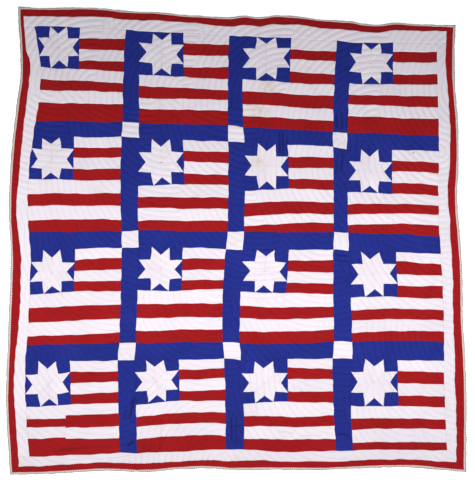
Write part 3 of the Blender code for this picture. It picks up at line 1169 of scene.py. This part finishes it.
def printed_cotton(name, ground, ink):
    """Binding cloth: cream woven cotton with a brown check, painted shade on its fold's roll."""
    material, tree = empty_material(name)
    place = add_node(tree, "ShaderNodeTexCoord").outputs["Object"]
    along = add_node(tree, "ShaderNodeAttribute", attribute_name="along").outputs["Fac"]
    inward = add_node(tree, "ShaderNodeAttribute", attribute_name="inward").outputs["Fac"]
    half_check = CHECK_PITCH / 2.0
    from_line = add_node(
        tree, "ShaderNodeMath", {1: half_check}, {0: along}, operation="PINGPONG",
    ).outputs["Value"]
    washed = add_node(
        tree, "ShaderNodeTexNoise", {"Scale": 1.0 / BINDING_FADED_PATCH, "Detail": 3.0},
        {"Vector": place},
    ).outputs["Fac"]
    flecks = add_node(
        tree, "ShaderNodeTexVoronoi", {"Scale": 1.0 / BINDING_FLECK, "Randomness": 0.8},
        {"Vector": place},
    ).outputs["Distance"]
    shares = {}
    for part, value, low, high, at_low, at_high in (
        ("faded", washed, 0.35, 0.65, 0.0, 1.0),
        ("flecked", flecks, 0.22, 0.30, 0.30, 0.0),
        ("line", from_line, 0.30 * half_check, 0.45 * half_check, 1.0, 0.0),
        ("worn", washed, 0.40, 0.60, 0.35, 0.85),
        # Painted shade: the outer roll of the fold and its underside, in the mark's colour.
        ("folded", inward, 0.36, 0.54, 0.52, 0.0),
        ("roughness", washed, 0.3, 0.7, 0.80, 0.92),
    ):
        shares[part] = add_node(
            tree, "ShaderNodeMapRange",
            {"From Min": low, "From Max": high, "To Min": at_low, "To Max": at_high},
            {"Value": value},
        ).outputs["Result"]
    lined = add_node(
        tree, "ShaderNodeMath", None, {0: shares["line"], 1: shares["worn"]},
        operation="MULTIPLY",
    ).outputs["Value"]
    dull = opaque(value * 0.82 for value in ground)
    pale = opaque(min(1.0, value * 1.1) for value in ground)
    result = add_node(
        tree, "ShaderNodeMix", {MIX_FIRST: dull, MIX_SECOND: pale},
        {MIX_SHARE: shares["faded"]}, data_type="RGBA",
    ).outputs[MIX_RESULT]
    # The last mix is painted shade on the fold's outer roll.
    for share in (shares["flecked"], lined, shares["folded"]):
        result = add_node(
            tree, "ShaderNodeMix", {MIX_SECOND: opaque(ink)},
            {MIX_FIRST: result, MIX_SHARE: share}, data_type="RGBA",
        ).outputs[MIX_RESULT]
    shader = add_node(
        tree, "ShaderNodeBsdfPrincipled",
        {"IOR": 1.5, "Metallic": 0.0, "Specular IOR Level": 0.2, "Sheen Weight": 0.03},
        {
            "Base Color": result,
            "Roughness": shares["roughness"],
            "Normal": weave_bump(tree, place),
        },
    )
    add_node(tree, "ShaderNodeOutputMaterial", None, {"Surface": shader.outputs["BSDF"]})
    return material


def twisted_thread(name, colour):
    """Quilting thread: waxed twisted cotton, a little smoother than the cloth."""
    material, tree = empty_material(name)
    place = add_node(tree, "ShaderNodeTexCoord").outputs["Object"]
    plies = add_node(
        tree, "ShaderNodeTexNoise", {"Scale": 1.0 / PLY_LENGTH, "Detail": 1.0},
        {"Vector": place},
    ).outputs["Fac"]
    dull = opaque(value * 0.8 for value in colour)
    twisted = add_node(
        tree, "ShaderNodeMix", {MIX_FIRST: dull, MIX_SECOND: opaque(colour)},
        {MIX_SHARE: plies}, data_type="RGBA",
    ).outputs[MIX_RESULT]
    roughness = add_node(
        tree, "ShaderNodeMapRange",
        {"From Min": 0.3, "From Max": 0.7, "To Min": 0.55, "To Max": 0.75}, {"Value": plies},
    ).outputs["Result"]
    shader = add_node(
        tree, "ShaderNodeBsdfPrincipled",
        {"IOR": 1.5, "Metallic": 0.0, "Sheen Weight": 0.1},
        {"Base Color": twisted, "Roughness": roughness},
    )
    add_node(tree, "ShaderNodeOutputMaterial", None, {"Surface": shader.outputs["BSDF"]})
    return material


def shared_material(name, make, *colours, **settings):
    """The material of this name, made the first time it is asked for."""
    return bpy.data.materials.get(name) or make(name, *map(tuple, colours), **settings)


def red_cotton():
    """Red calico, dyed in the piece: matt and deep, a little uneven from washing."""
    colours = bpy.context.scene.quilt_colours
    # The last setting is the depth of painted shade in the sewn lines and creases.
    return shared_material(
        "red_cotton_calico_woven", woven_cotton, colours.red, fade=0.07, soil=0.33)


def blue_cotton():
    """Blue calico, dyed in the piece: matt and deep, a little uneven from washing."""
    colours = bpy.context.scene.quilt_colours
    # The last setting is the depth of painted shade in the sewn lines and creases.
    return shared_material(
        "blue_cotton_calico_woven", woven_cotton, colours.blue, fade=0.08, soil=0.62)


def white_cotton():
    """Bleached muslin: soft white with a cool tint, marked by old spills."""
    colours = bpy.context.scene.quilt_colours
    # The last setting is the depth of painted shade in the sewn lines and creases.
    return shared_material(
        "white_cotton_muslin_woven", woven_cotton, colours.white, colours.stain,
        fade=0.03, soil=0.15)


def strip_outlines(outer, inner):
    """Outlines of the four strips between two frames of clockwise runs.

    The head and foot strips run the whole width, and the side strips between them.
    """
    head, right, foot, left = outer
    in_head, in_right, in_foot, in_left = inner
    step = np.linalg.norm(head[1] - head[0])

    def level(run, height):
        order = np.argsort(run[:, 1])
        return np.array((np.interp(height, run[order, 1], run[order, 0]), height))

    def part(run, low, high):
        return run[(run[:, 1] > low + step / 2) & (run[:, 1] < high - step / 2)]

    def back_along(run, start, end):
        return [spaced(start, run[-1], step), run[::-1], spaced(run[0], end, step)]

    head_right = level(right, in_head[-1][1])
    head_left = level(left, in_head[0][1])
    foot_right = level(right, in_foot[0][1])
    foot_left = level(left, in_foot[-1][1])
    strips = (
        [
            head, part(right, head_right[1], math.inf),
            *back_along(in_head, head_right, head_left),
            part(left, head_left[1], math.inf),
        ],
        [
            part(right, foot_right[1], head_right[1]),
            *back_along(in_right, foot_right, head_right),
        ],
        [
            foot, part(left, -math.inf, foot_left[1]),
            *back_along(in_foot, foot_left, foot_right),
            part(right, -math.inf, foot_right[1]),
        ],
        [
            part(left, foot_left[1], head_left[1]),
            *back_along(in_left, head_left, foot_left),
        ],
    )
    return [closed_outline(runs) for runs in strips]


def pieced_frame(step):
    """The edge of the pieced centre as four clockwise runs."""
    return [
        across_all(0, step), up_all(7, step), across_all(7, step)[::-1], up_all(0, step)[::-1],
    ]


def tucked_edge(step):
    """The edge of the red border under the binding, as four clockwise runs."""
    runs = [moved_in(run, BORDER_TUCK) for run in finished_edge(step)]
    for place, run in enumerate(runs):
        following = runs[(place + 1) % len(runs)]
        corner = meeting(run[-3:], following[:3])
        run[-1] = corner
        following[0] = corner
    return runs


class QUILT_OT_borders(bpy.types.Operator):
    """Sew the red outer border and the white inner border"""

    bl_idname = "quilt.borders"
    bl_label = "Sew Borders"

    def execute(self, context):
        sizes = context.scene.quilt_sizes
        step = sizes.mesh_step
        seam = border_seam(step)
        red = ClothMesh(seed=21)
        for outline in strip_outlines(tucked_edge(step), seam):
            red.add_patch(outline, sizes)
        red.finish("border_red_strips", red_cotton())
        white = ClothMesh(seed=22)
        for outline in strip_outlines(seam, pieced_frame(step)):
            white.add_patch(outline, sizes)
        white.finish("border_white_strips", white_cotton())
        return {"FINISHED"}


class QUILT_OT_sashing(bpy.types.Operator):
    """Sew the blue sashing between the flags and the white cornerstones"""

    bl_idname = "quilt.sashing"
    bl_label = "Sew Sashing"

    def execute(self, context):
        sizes = context.scene.quilt_sizes
        step = sizes.mesh_step
        blue = ClothMesh(seed=31)
        white = ClothMesh(seed=32)
        for gap in range(3):
            left, right = 2 * gap + 1, 2 * gap + 2
            for row in range(4):
                corners = (crossing(left, 2 * row), crossing(right, 2 * row),
                           crossing(right, 2 * row + 1), crossing(left, 2 * row + 1))
                blue.add_patch(closed_outline((
                    spaced(corners[0], corners[1], step),
                    up_run(right, row, corners[1][1], corners[2][1], step),
                    spaced(corners[2], corners[3], step),
                    up_run(left, row, corners[3][1], corners[0][1], step),
                )), sizes)
            for column in range(4):
                corners = (crossing(2 * column, left), crossing(2 * column + 1, left),
                           crossing(2 * column + 1, right), crossing(2 * column, right))
                blue.add_patch(closed_outline((
                    across_run(left, column, corners[0][0], corners[1][0], step),
                    spaced(corners[1], corners[2], step),
                    across_run(right, column, corners[2][0], corners[3][0], step),
                    spaced(corners[3], corners[0], step),
                )), sizes)
            for other in range(3):
                above, below = 2 * other + 1, 2 * other + 2
                corners = (crossing(left, above), crossing(right, above),
                           crossing(right, below), crossing(left, below))
                white.add_patch(straight_outline(corners, step), sizes)
        blue.finish("sashing_blue_strips", blue_cotton())
        white.finish("sashing_white_cornerstones", white_cotton())
        return {"FINISHED"}


def flag_seams(flag, step):
    """The seams of one flag, each from left to right.

    They are the canton's right side at its five seams, its lower left corner, the
    five lines of the short stripes, and the five lines of the long ones.
    """
    left, right = 2 * flag.column, 2 * flag.column + 1
    head, foot = 2 * flag.row, 2 * flag.row + 1
    head_left, head_right = crossing(left, head), crossing(right, head)
    foot_left, foot_right = crossing(left, foot), crossing(right, foot)

    def down(widths, start, end):
        shares = np.cumsum(widths) / np.sum(widths)
        return start[1] + (end[1] - start[1]) * shares[:-1]

    left_heights = down(flag.at_left, head_left, foot_left)
    right_heights = down(flag.at_right, head_right, foot_right)
    canton_head = across_run(
        head, flag.column, flag.canton_head * MM, flag.canton_head * MM, step)[0]
    marks = np.concatenate(([0.0], np.cumsum(flag.at_canton))) * MM
    shares = marks / marks[-1]
    drift = (flag.canton_foot - flag.canton_head) * MM
    canton = np.column_stack((canton_head[0] + drift * shares, canton_head[1] - marks))

    lines = [across_run(head, flag.column, canton_head[0], head_right[0], step)]
    for place in range(1, 5):
        height = right_heights[place - 1]
        lines.append(spaced(canton[place], (up_x(right, flag.row, height), height), step))
    canton_left = (up_x(left, flag.row, left_heights[0]), left_heights[0])
    long_lines = [np.vstack((spaced(canton_left, canton[4], step), lines[4][1:]))]
    for place in range(1, 4):
        low, high = left_heights[place], right_heights[3 + place]
        start = np.array((up_x(left, flag.row, low), low))
        end = np.array((up_x(right, flag.row, high), high))
        line = spaced(start, end, step)
        share = (line[:, 0] - start[0]) / (end[0] - start[0])
        line[:, 1] += bowed(flag.bow * MM, share)
        long_lines.append(line)
    long_lines.append(across_run(foot, flag.column, foot_left[0], foot_right[0], step))
    for jog in JOGS:
        if (jog.row, jog.column) == (flag.row, flag.column):
            long_lines[jog.seam] = jogged(long_lines[jog.seam], jog)
    return canton, canton_left, lines, long_lines


def jogged(line, jog):
    """A long seam whose two parts are pulled apart at a join."""
    x, half = jog.x * MM, jog.up * MM / 2.0
    left_part, right_part = split_line(line, x)
    left_part[:, 1] -= half * (left_part[:, 0] - line[0, 0]) / (x - line[0, 0])
    right_part[:, 1] += half * (line[-1, 0] - right_part[:, 0]) / (line[-1, 0] - x)
    return np.vstack((left_part, right_part))


def split_line(line, x):
    """The parts of a seam to the left and to the right of a place."""
    at = line[np.abs(line[:, 0] - x) <= MM]
    if len(at) < 2:
        at = np.full((2, 2), (x, np.interp(x, line[:, 0], line[:, 1])))
    before, after = line[line[:, 0] < x - MM], line[line[:, 0] > x + MM]
    return np.vstack((before, at[0])), np.vstack((at[-1], after))


def stripe_outline(upper, lower, step):
    """A stripe between two lines that may end on the block's curved sides."""
    return closed_outline((
        upper, spaced(upper[-1], lower[-1], step), lower[::-1], spaced(lower[0], upper[0], step),
    ))


def sewn_tip(tip, edge, outward):
    """A star's tip, put on the canton's edge where it reaches or nearly reaches it."""
    return edge if np.dot(tip - edge, outward) > -TIP_REACH * MM else tip


def star_outlines(flag, star, canton, canton_left, step):
    """Outlines of a star's eight diamonds and of the blue pieces round them."""
    head, left = 2 * flag.row, 2 * flag.column
    canton_left = np.array(canton_left)
    star = Star(*(value * MM for value in star))
    across = TIP_ACROSS * (star.right - star.left)
    down = TIP_DOWN * (star.head - star.foot)

    def on_head(tip):
        return across_run(head, flag.column, tip[0], tip[0], step)[0]

    def on_right(tip):
        drop = canton[0, 1] - canton[4, 1]
        return canton[0] + (canton[4] - canton[0]) * (canton[0, 1] - tip[1]) / drop

    def on_foot(tip):
        share = (tip[0] - canton_left[0]) / (canton[4, 0] - canton_left[0])
        return canton_left + (canton[4] - canton_left) * share

    def on_left(tip):
        return np.array((up_x(left, flag.row, tip[1]), tip[1]))

    drawn = (
        (on_head, (0, 1),
         (star.head_middle - across, star.head), (star.head_middle + across, star.head)),
        (on_right, (1, 0),
         (star.right, star.right_middle + down), (star.right, star.right_middle - down)),
        (on_foot, (0, -1),
         (star.foot_middle + across, star.foot), (star.foot_middle - across, star.foot)),
        (on_left, (-1, 0),
         (star.left, star.left_middle - down), (star.left, star.left_middle + down)),
    )
    edges = [(on_side(first), on_side(second)) for on_side, _, first, second in drawn]
    tips = [
        (sewn_tip(first, edge[0], outward), sewn_tip(second, edge[1], outward))
        for (_, outward, first, second), edge in zip(drawn, edges)
    ]
    notches = np.array((
        (star.head_middle, star.head - NOTCH_DEPTH * MM),
        (star.right - NOTCH_DEPTH * MM, star.right_middle),
        (star.foot_middle, star.foot + NOTCH_DEPTH * MM),
        (star.left + NOTCH_DEPTH * MM, star.left_middle),
    ))
    centre = notches.mean(axis=0)
    reach = np.array((star.right - star.left, star.head - star.foot)) * INNER_CORNER
    inner = [centre + reach * turn for turn in ((1, 1), (1, -1), (-1, -1), (-1, 1))]
    corners = (canton[0], canton[4], canton_left, crossing(left, head))
    diamonds = []
    blues = []
    for side in range(4):
        after = (side + 1) % 4
        first, second = tips[side]
        diamonds.append((centre, inner[side - 1], first, notches[side]))
        diamonds.append((centre, notches[side], second, inner[side]))
        blues.append((first, edges[side][0], edges[side][1], second, notches[side]))
        blues.append((
            second, edges[side][1], corners[side], edges[after][0], tips[after][0], inner[side],
        ))
    return [[straight_outline(points, step) for points in shapes] for shapes in (diamonds, blues)]


class QUILT_OT_flags(bpy.types.Operator):
    """Piece the sixteen flag blocks: stripes, cantons and eight-pointed stars"""

    bl_idname = "quilt.flags"
    bl_label = "Piece Flags"

    def execute(self, context):
        sizes = context.scene.quilt_sizes
        step = sizes.mesh_step
        stripes = {"white": ClothMesh(seed=41), "red": ClothMesh(seed=42)}
        cantons = ClothMesh(seed=43)
        stars = ClothMesh(seed=44)
        for flag, star in zip(FLAGS, STARS):
            canton, canton_left, short_lines, long_lines = flag_seams(flag, step)
            for place, (upper, lower) in enumerate(zip(short_lines, short_lines[1:])):
                colour = ("white", "red")[place % 2]
                stripes[colour].add_patch(stripe_outline(upper, lower, step), sizes)
            joins = {
                join.stripe: join for join in JOINS
                if (join.row, join.column) == (flag.row, flag.column)
            }
            for place, (upper, lower) in enumerate(zip(long_lines, long_lines[1:])):
                cloth = stripes[("white", "red")[place % 2]]
                if place in joins:
                    x = joins[place].x * MM
                    for part, other in zip(split_line(upper, x), split_line(lower, x)):
                        cloth.add_patch(stripe_outline(part, other, step), sizes)
                else:
                    cloth.add_patch(stripe_outline(upper, lower, step), sizes)
            diamonds, blues = star_outlines(flag, star, canton, canton_left, step)
            for outline in diamonds:
                stars.add_patch(outline, sizes, STAR_SEAM_DEPTH)
            for outline in blues:
                cantons.add_patch(outline, sizes)
        for colour, material in (("white", white_cotton()), ("red", red_cotton())):
            stripes[colour].finish("flag_" + colour + "_stripes", material)
        cantons.finish("flag_blue_cantons", blue_cotton())
        stars.finish("flag_white_stars", white_cotton())
        return {"FINISHED"}


class QUILT_OT_backing(bpy.types.Operator):
    """Lay the backing cloth under the quilt, dimpled where the quilting holds it"""

    bl_idname = "quilt.backing"
    bl_label = "Lay Backing"

    def execute(self, context):
        sizes = context.scene.quilt_sizes
        colours = context.scene.quilt_colours
        edge = edge_outline()
        outline = edge + inward_steps(edge) * BACKING_INSET
        cloud = quilting_points(sizes.quilting_pitch, BACKING_STEP, BACKING_PHASES)
        points = near_points(cloud, outline, BACKING_CLEARANCE)
        laid, triangles, edge_numbers = triangles_within(outline, points)
        lift = 1.0 - puff(laid, sizes.quilting_pitch)
        rim = 1.0 - eased((edge_distance(laid) - UNDERSIDE_RIM) / UNDERSIDE_RIM_WIDE)
        height = np.maximum(UNDERSIDE_DIMPLE * lift, UNDERSIDE_RIM_LIFT * rim)
        count = len(outline)
        top = np.column_stack((outline, np.full(count, BACKING_TOP)))
        below = np.column_stack((laid, height))
        faces = [tuple(range(count))]
        for place in range(count):
            after = (place + 1) % count
            faces.append((place, count + edge_numbers[place], count + edge_numbers[after], after))
        faces.extend(map(tuple, triangles[:, ::-1] + count))
        cloth = ClothMesh()
        cloth.add(np.vstack((top, below)), faces)
        # The last setting is the depth of painted shade in the sewn lines and creases.
        material = shared_material(
            "unbleached_cotton_backing_woven", woven_cotton, colours.backing,
            fade=0.05, soil=0.1)
        cloth.finish("backing_cloth", material)
        return {"FINISHED"}


class QUILT_OT_binding(bpy.types.Operator):
    """Fold the printed binding over the four edges, mitred at the corners"""

    bl_idname = "quilt.binding"
    bl_label = "Fold Binding"

    def execute(self, context):
        sizes = context.scene.quilt_sizes
        colours = context.scene.quilt_colours
        material = shared_material(
            "printed_cotton_binding_woven", printed_cotton,
            colours.print_ground, colours.print_mark)
        runs = finished_edge(BINDING_STEP)
        edge = np.vstack([run[:-1] for run in runs])
        steps = -inward_steps(edge)
        start = 0
        for side, run in zip(SIDES, runs):
            numbers = np.arange(start, start + len(run)) % len(edge)
            start += len(run) - 1
            cloth = ClothMesh()
            rows = []
            gaps = np.linalg.norm(np.diff(run, axis=0), axis=1)
            along = np.concatenate(([0.0], np.cumsum(gaps)))
            scallop = np.zeros(len(along))
            for wave in SCALLOPS:
                sway = wave.sway * np.sin(along / (wave.sway_length * MM))
                scallop += wave.depth * MM * np.sin(along / (wave.length * MM) + sway)
            drawn = eased(np.minimum(along, along[-1] - along) / HEAD_CORNER) * (side == "head")
            reach = sizes.binding_width * (1.0 - HEAD_DRAWN_BACK * drawn)
            roll = BINDING_ROLL + (HEAD_BINDING_ROLL - BINDING_ROLL) * drawn
            wobble = 1.0 + WIDTH_WOBBLE * ripples(edge[numbers] * WIDTH_RIPPLES)
            pucker = HEIGHT_PUCKER * ripples(edge[numbers] * HEIGHT_RIPPLES)
            for corner in BINDING_FOLD:
                inward = corner.inward * reach * wobble + (scallop - roll) * (1.0 - corner.inward)
                flat = edge[numbers] + steps[numbers] * inward[:, None]
                height = corner.height * MM + pucker * (corner.height > PUCKERS_ABOVE)
                rows.append(np.column_stack((flat, height)))
            around = len(rows)
            count = len(run)
            corners = np.array(rows).transpose(1, 0, 2).reshape(-1, 3)
            last = (count - 1) * around
            faces = [tuple(range(around)), tuple(range(last + around - 1, last - 1, -1))]
            for ring in range(0, last, around):
                for turn in range(around):
                    after = (turn + 1) % around
                    faces.append((ring + after, ring + turn,
                                  ring + around + turn, ring + around + after))
            cloth.add(corners, faces)
            item = cloth.finish(
                side + "_binding_fold", material, "binding_print", "binding_" + side)
            shares = [corner.inward for corner in BINDING_FOLD]
            give_values(item.data, "along", np.repeat(along, around))
            give_values(item.data, "inward", np.tile(shares, count))
        return {"FINISHED"}


class QUILT_OT_quilting(bpy.types.Operator):
    """Sew the quilting stitches along the arcs of the fans"""

    bl_idname = "quilt.quilting"
    bl_label = "Quilt"

    def execute(self, context):
        sizes = context.scene.quilt_sizes
        colours = context.scene.quilt_colours
        centres, _, _ = fan_table()
        places = []
        tangents = []
        for index, centre in enumerate(centres):
            for arc in range(1, int(FARTHEST_ARC / sizes.quilting_pitch)):
                radius = arc * sizes.quilting_pitch
                count = int(round(2.0 * math.pi * radius / sizes.stitch_pitch))
                angles = np.arange(count) * 2.0 * math.pi / count
                outward = np.column_stack((np.cos(angles), np.sin(angles)))
                points = centre + radius * outward
                kept = np.max(np.abs(points), axis=1) < FIELD_REACH
                points, outward = points[kept], outward[kept]
                if not len(points):
                    continue
                kept = owning_fan(points)[0] == index
                places.append(points[kept])
                tangents.append(outward[kept][:, ::-1] * (-1.0, 1.0))
        places, tangents = np.vstack(places), np.vstack(tangents)
        clear = edge_distance(places) > sizes.binding_width + STITCHES_STOP
        kept = inside(places, edge_outline()) & clear
        places, tangents = places[kept], tangents[kept]
        material = shared_material(
            "cotton_quilting_thread_twisted", twisted_thread, colours.thread)
        for name, half in (("head", places[:, 1] >= 0.0), ("foot", places[:, 1] < 0.0)):
            cloth = ClothMesh()
            size = (sizes.stitch_length, sizes.thread_width)
            corners, faces = stitches(places[half], tangents[half], size, sizes)
            cloth.add(corners, faces)
            cloth.finish("quilting_thread_" + name, material)
        loose = ClothMesh()
        place = np.array([LOOSE_THREAD]) * MM
        size = (LOOSE_THREAD_LONG * MM, LOOSE_THREAD_WIDE * MM)
        corners, faces = stitches(place, np.array([LOOSE_THREAD_LIES]), size, sizes)
        loose.add(corners, faces)
        dark = shared_material(
            "dark_cotton_thread_twisted", twisted_thread, colours.loose_thread)
        loose.finish("loose_thread_end", dark)
        return {"FINISHED"}


def stitches(places, tangents, size, sizes):
    """A small tent of thread of a length and width at each place, along its tangent."""
    beside = tangents[:, ::-1] * (1.0, -1.0)
    half_long, half_wide = size[0] / 2.0, size[1] / 2.0
    height = face_height(places, sizes)
    rows = []
    for along, aside, lift in STITCH_CORNERS:
        flat = places + tangents * along * half_long + beside * aside * half_wide
        rows.append(np.column_stack((flat, height + lift * MM)))
    corners = np.array(rows).transpose(1, 0, 2).reshape(-1, 3)
    faces = [
        tuple(number + len(STITCH_CORNERS) * stitch for number in face)
        for stitch in range(len(places)) for face in STITCH_FACES
    ]
    return corners, faces


class QUILT_OT_stage(bpy.types.Operator):
    """Set the pale floor, the soft lights and the camera straight above"""

    bl_idname = "quilt.stage"
    bl_label = "Set Stage"

    def execute(self, context):
        stage = context.scene.quilt_stage
        mesh = bpy.data.meshes.new("pale_floor")
        corners = [
            (across * FLOOR_REACH, up * FLOOR_REACH, 0.0)
            for across, up in ((-1, -1), (1, -1), (1, 1), (-1, 1))
        ]
        mesh.from_pydata(corners, [], [(0, 1, 2, 3)])
        floor = bpy.data.objects.new("pale_floor", mesh)
        floor.location.z = -FLOOR_DROP
        context.scene.collection.objects.link(floor)
        material, tree = empty_material("pale_floor_painted")
        shader = add_node(
            tree, "ShaderNodeBsdfPrincipled",
            {
                "Base Color": opaque(tuple(stage.floor)), "Roughness": 0.9,
                "Emission Color": WHITE, "Emission Strength": FLOOR_GLOW,
            },
        )
        add_node(tree, "ShaderNodeOutputMaterial", None, {"Surface": shader.outputs["BSDF"]})
        mesh.materials.append(material)
        for light in LIGHTS:
            data = bpy.data.lights.new(light.name, "AREA")
            data.shape = "RECTANGLE"
            data.size = light.size_x
            data.size_y = light.size_y
            data.energy = light.power
            lamp = bpy.data.objects.new(light.name, data)
            lamp.location = light.place
            lamp.rotation_euler = [math.radians(angle) for angle in light.turn]
            lamp.visible_camera = False
            context.scene.collection.objects.link(lamp)
        world = bpy.data.worlds.new("soft_room")
        world.use_nodes = True
        background = world.node_tree.nodes["Background"]
        background.inputs["Color"].default_value = WORLD_COLOUR
        background.inputs["Strength"].default_value = WORLD_LIGHT
        context.scene.world = world
        context.scene.view_settings.view_transform = "Standard"
        data = bpy.data.cameras.new("overhead_camera")
        data.lens = stage.lens
        data.clip_start = 0.01
        camera = bpy.data.objects.new("overhead_camera", data)
        frame_height = stage.view_width * PHOTO_HEIGHT / PHOTO_WIDTH
        distance = frame_height * data.lens / data.sensor_width
        camera.location = (
            VIEW_CENTRE[0] * MM, VIEW_CENTRE[1] * MM, distance + FACE_ABOVE_FLOOR)
        context.scene.collection.objects.link(camera)
        context.scene.camera = camera
        return {"FINISHED"}


class QUILT_PT_panel(bpy.types.Panel):
    """The steps of making the quilt, in order, with its sizes and colours"""

    bl_idname = "QUILT_PT_panel"
    bl_label = "Flag Quilt"
    bl_space_type = "VIEW_3D"
    bl_region_type = "UI"
    bl_category = "Quilt"

    def draw(self, context):
        layout = self.layout
        for group in ("quilt_sizes", "quilt_colours", "quilt_stage"):
            settings = getattr(context.scene, group)
            box = layout.box()
            for name in settings.bl_rna.properties.keys():
                if name not in ("rna_type", "name"):
                    box.prop(settings, name)
        for operator in OPERATORS:
            layout.operator(operator.bl_idname)


OPERATORS = (
    QUILT_OT_borders,
    QUILT_OT_sashing,
    QUILT_OT_flags,
    QUILT_OT_backing,
    QUILT_OT_binding,
    QUILT_OT_quilting,
    QUILT_OT_stage,
)
CLASSES = (QuiltSizes, QuiltColours, QuiltStage) + OPERATORS + (QUILT_PT_panel,)


def register():
    """Add the settings, the operators and the panel to Blender."""
    for item in CLASSES:
        bpy.utils.register_class(item)
    bpy.types.Scene.quilt_sizes = PointerProperty(type=QuiltSizes)
    bpy.types.Scene.quilt_colours = PointerProperty(type=QuiltColours)
    bpy.types.Scene.quilt_stage = PointerProperty(type=QuiltStage)


def unregister():
    """Take them away again."""
    del bpy.types.Scene.quilt_stage
    del bpy.types.Scene.quilt_colours
    del bpy.types.Scene.quilt_sizes
    for item in reversed(CLASSES):
        bpy.utils.unregister_class(item)


def main():
    """Make the quilt and its stage."""
    register()
    for operator in OPERATORS:
        group, name = operator.bl_idname.split(".")
        getattr(getattr(bpy.ops, group), name)()


if __name__ == "__main__":
    main()
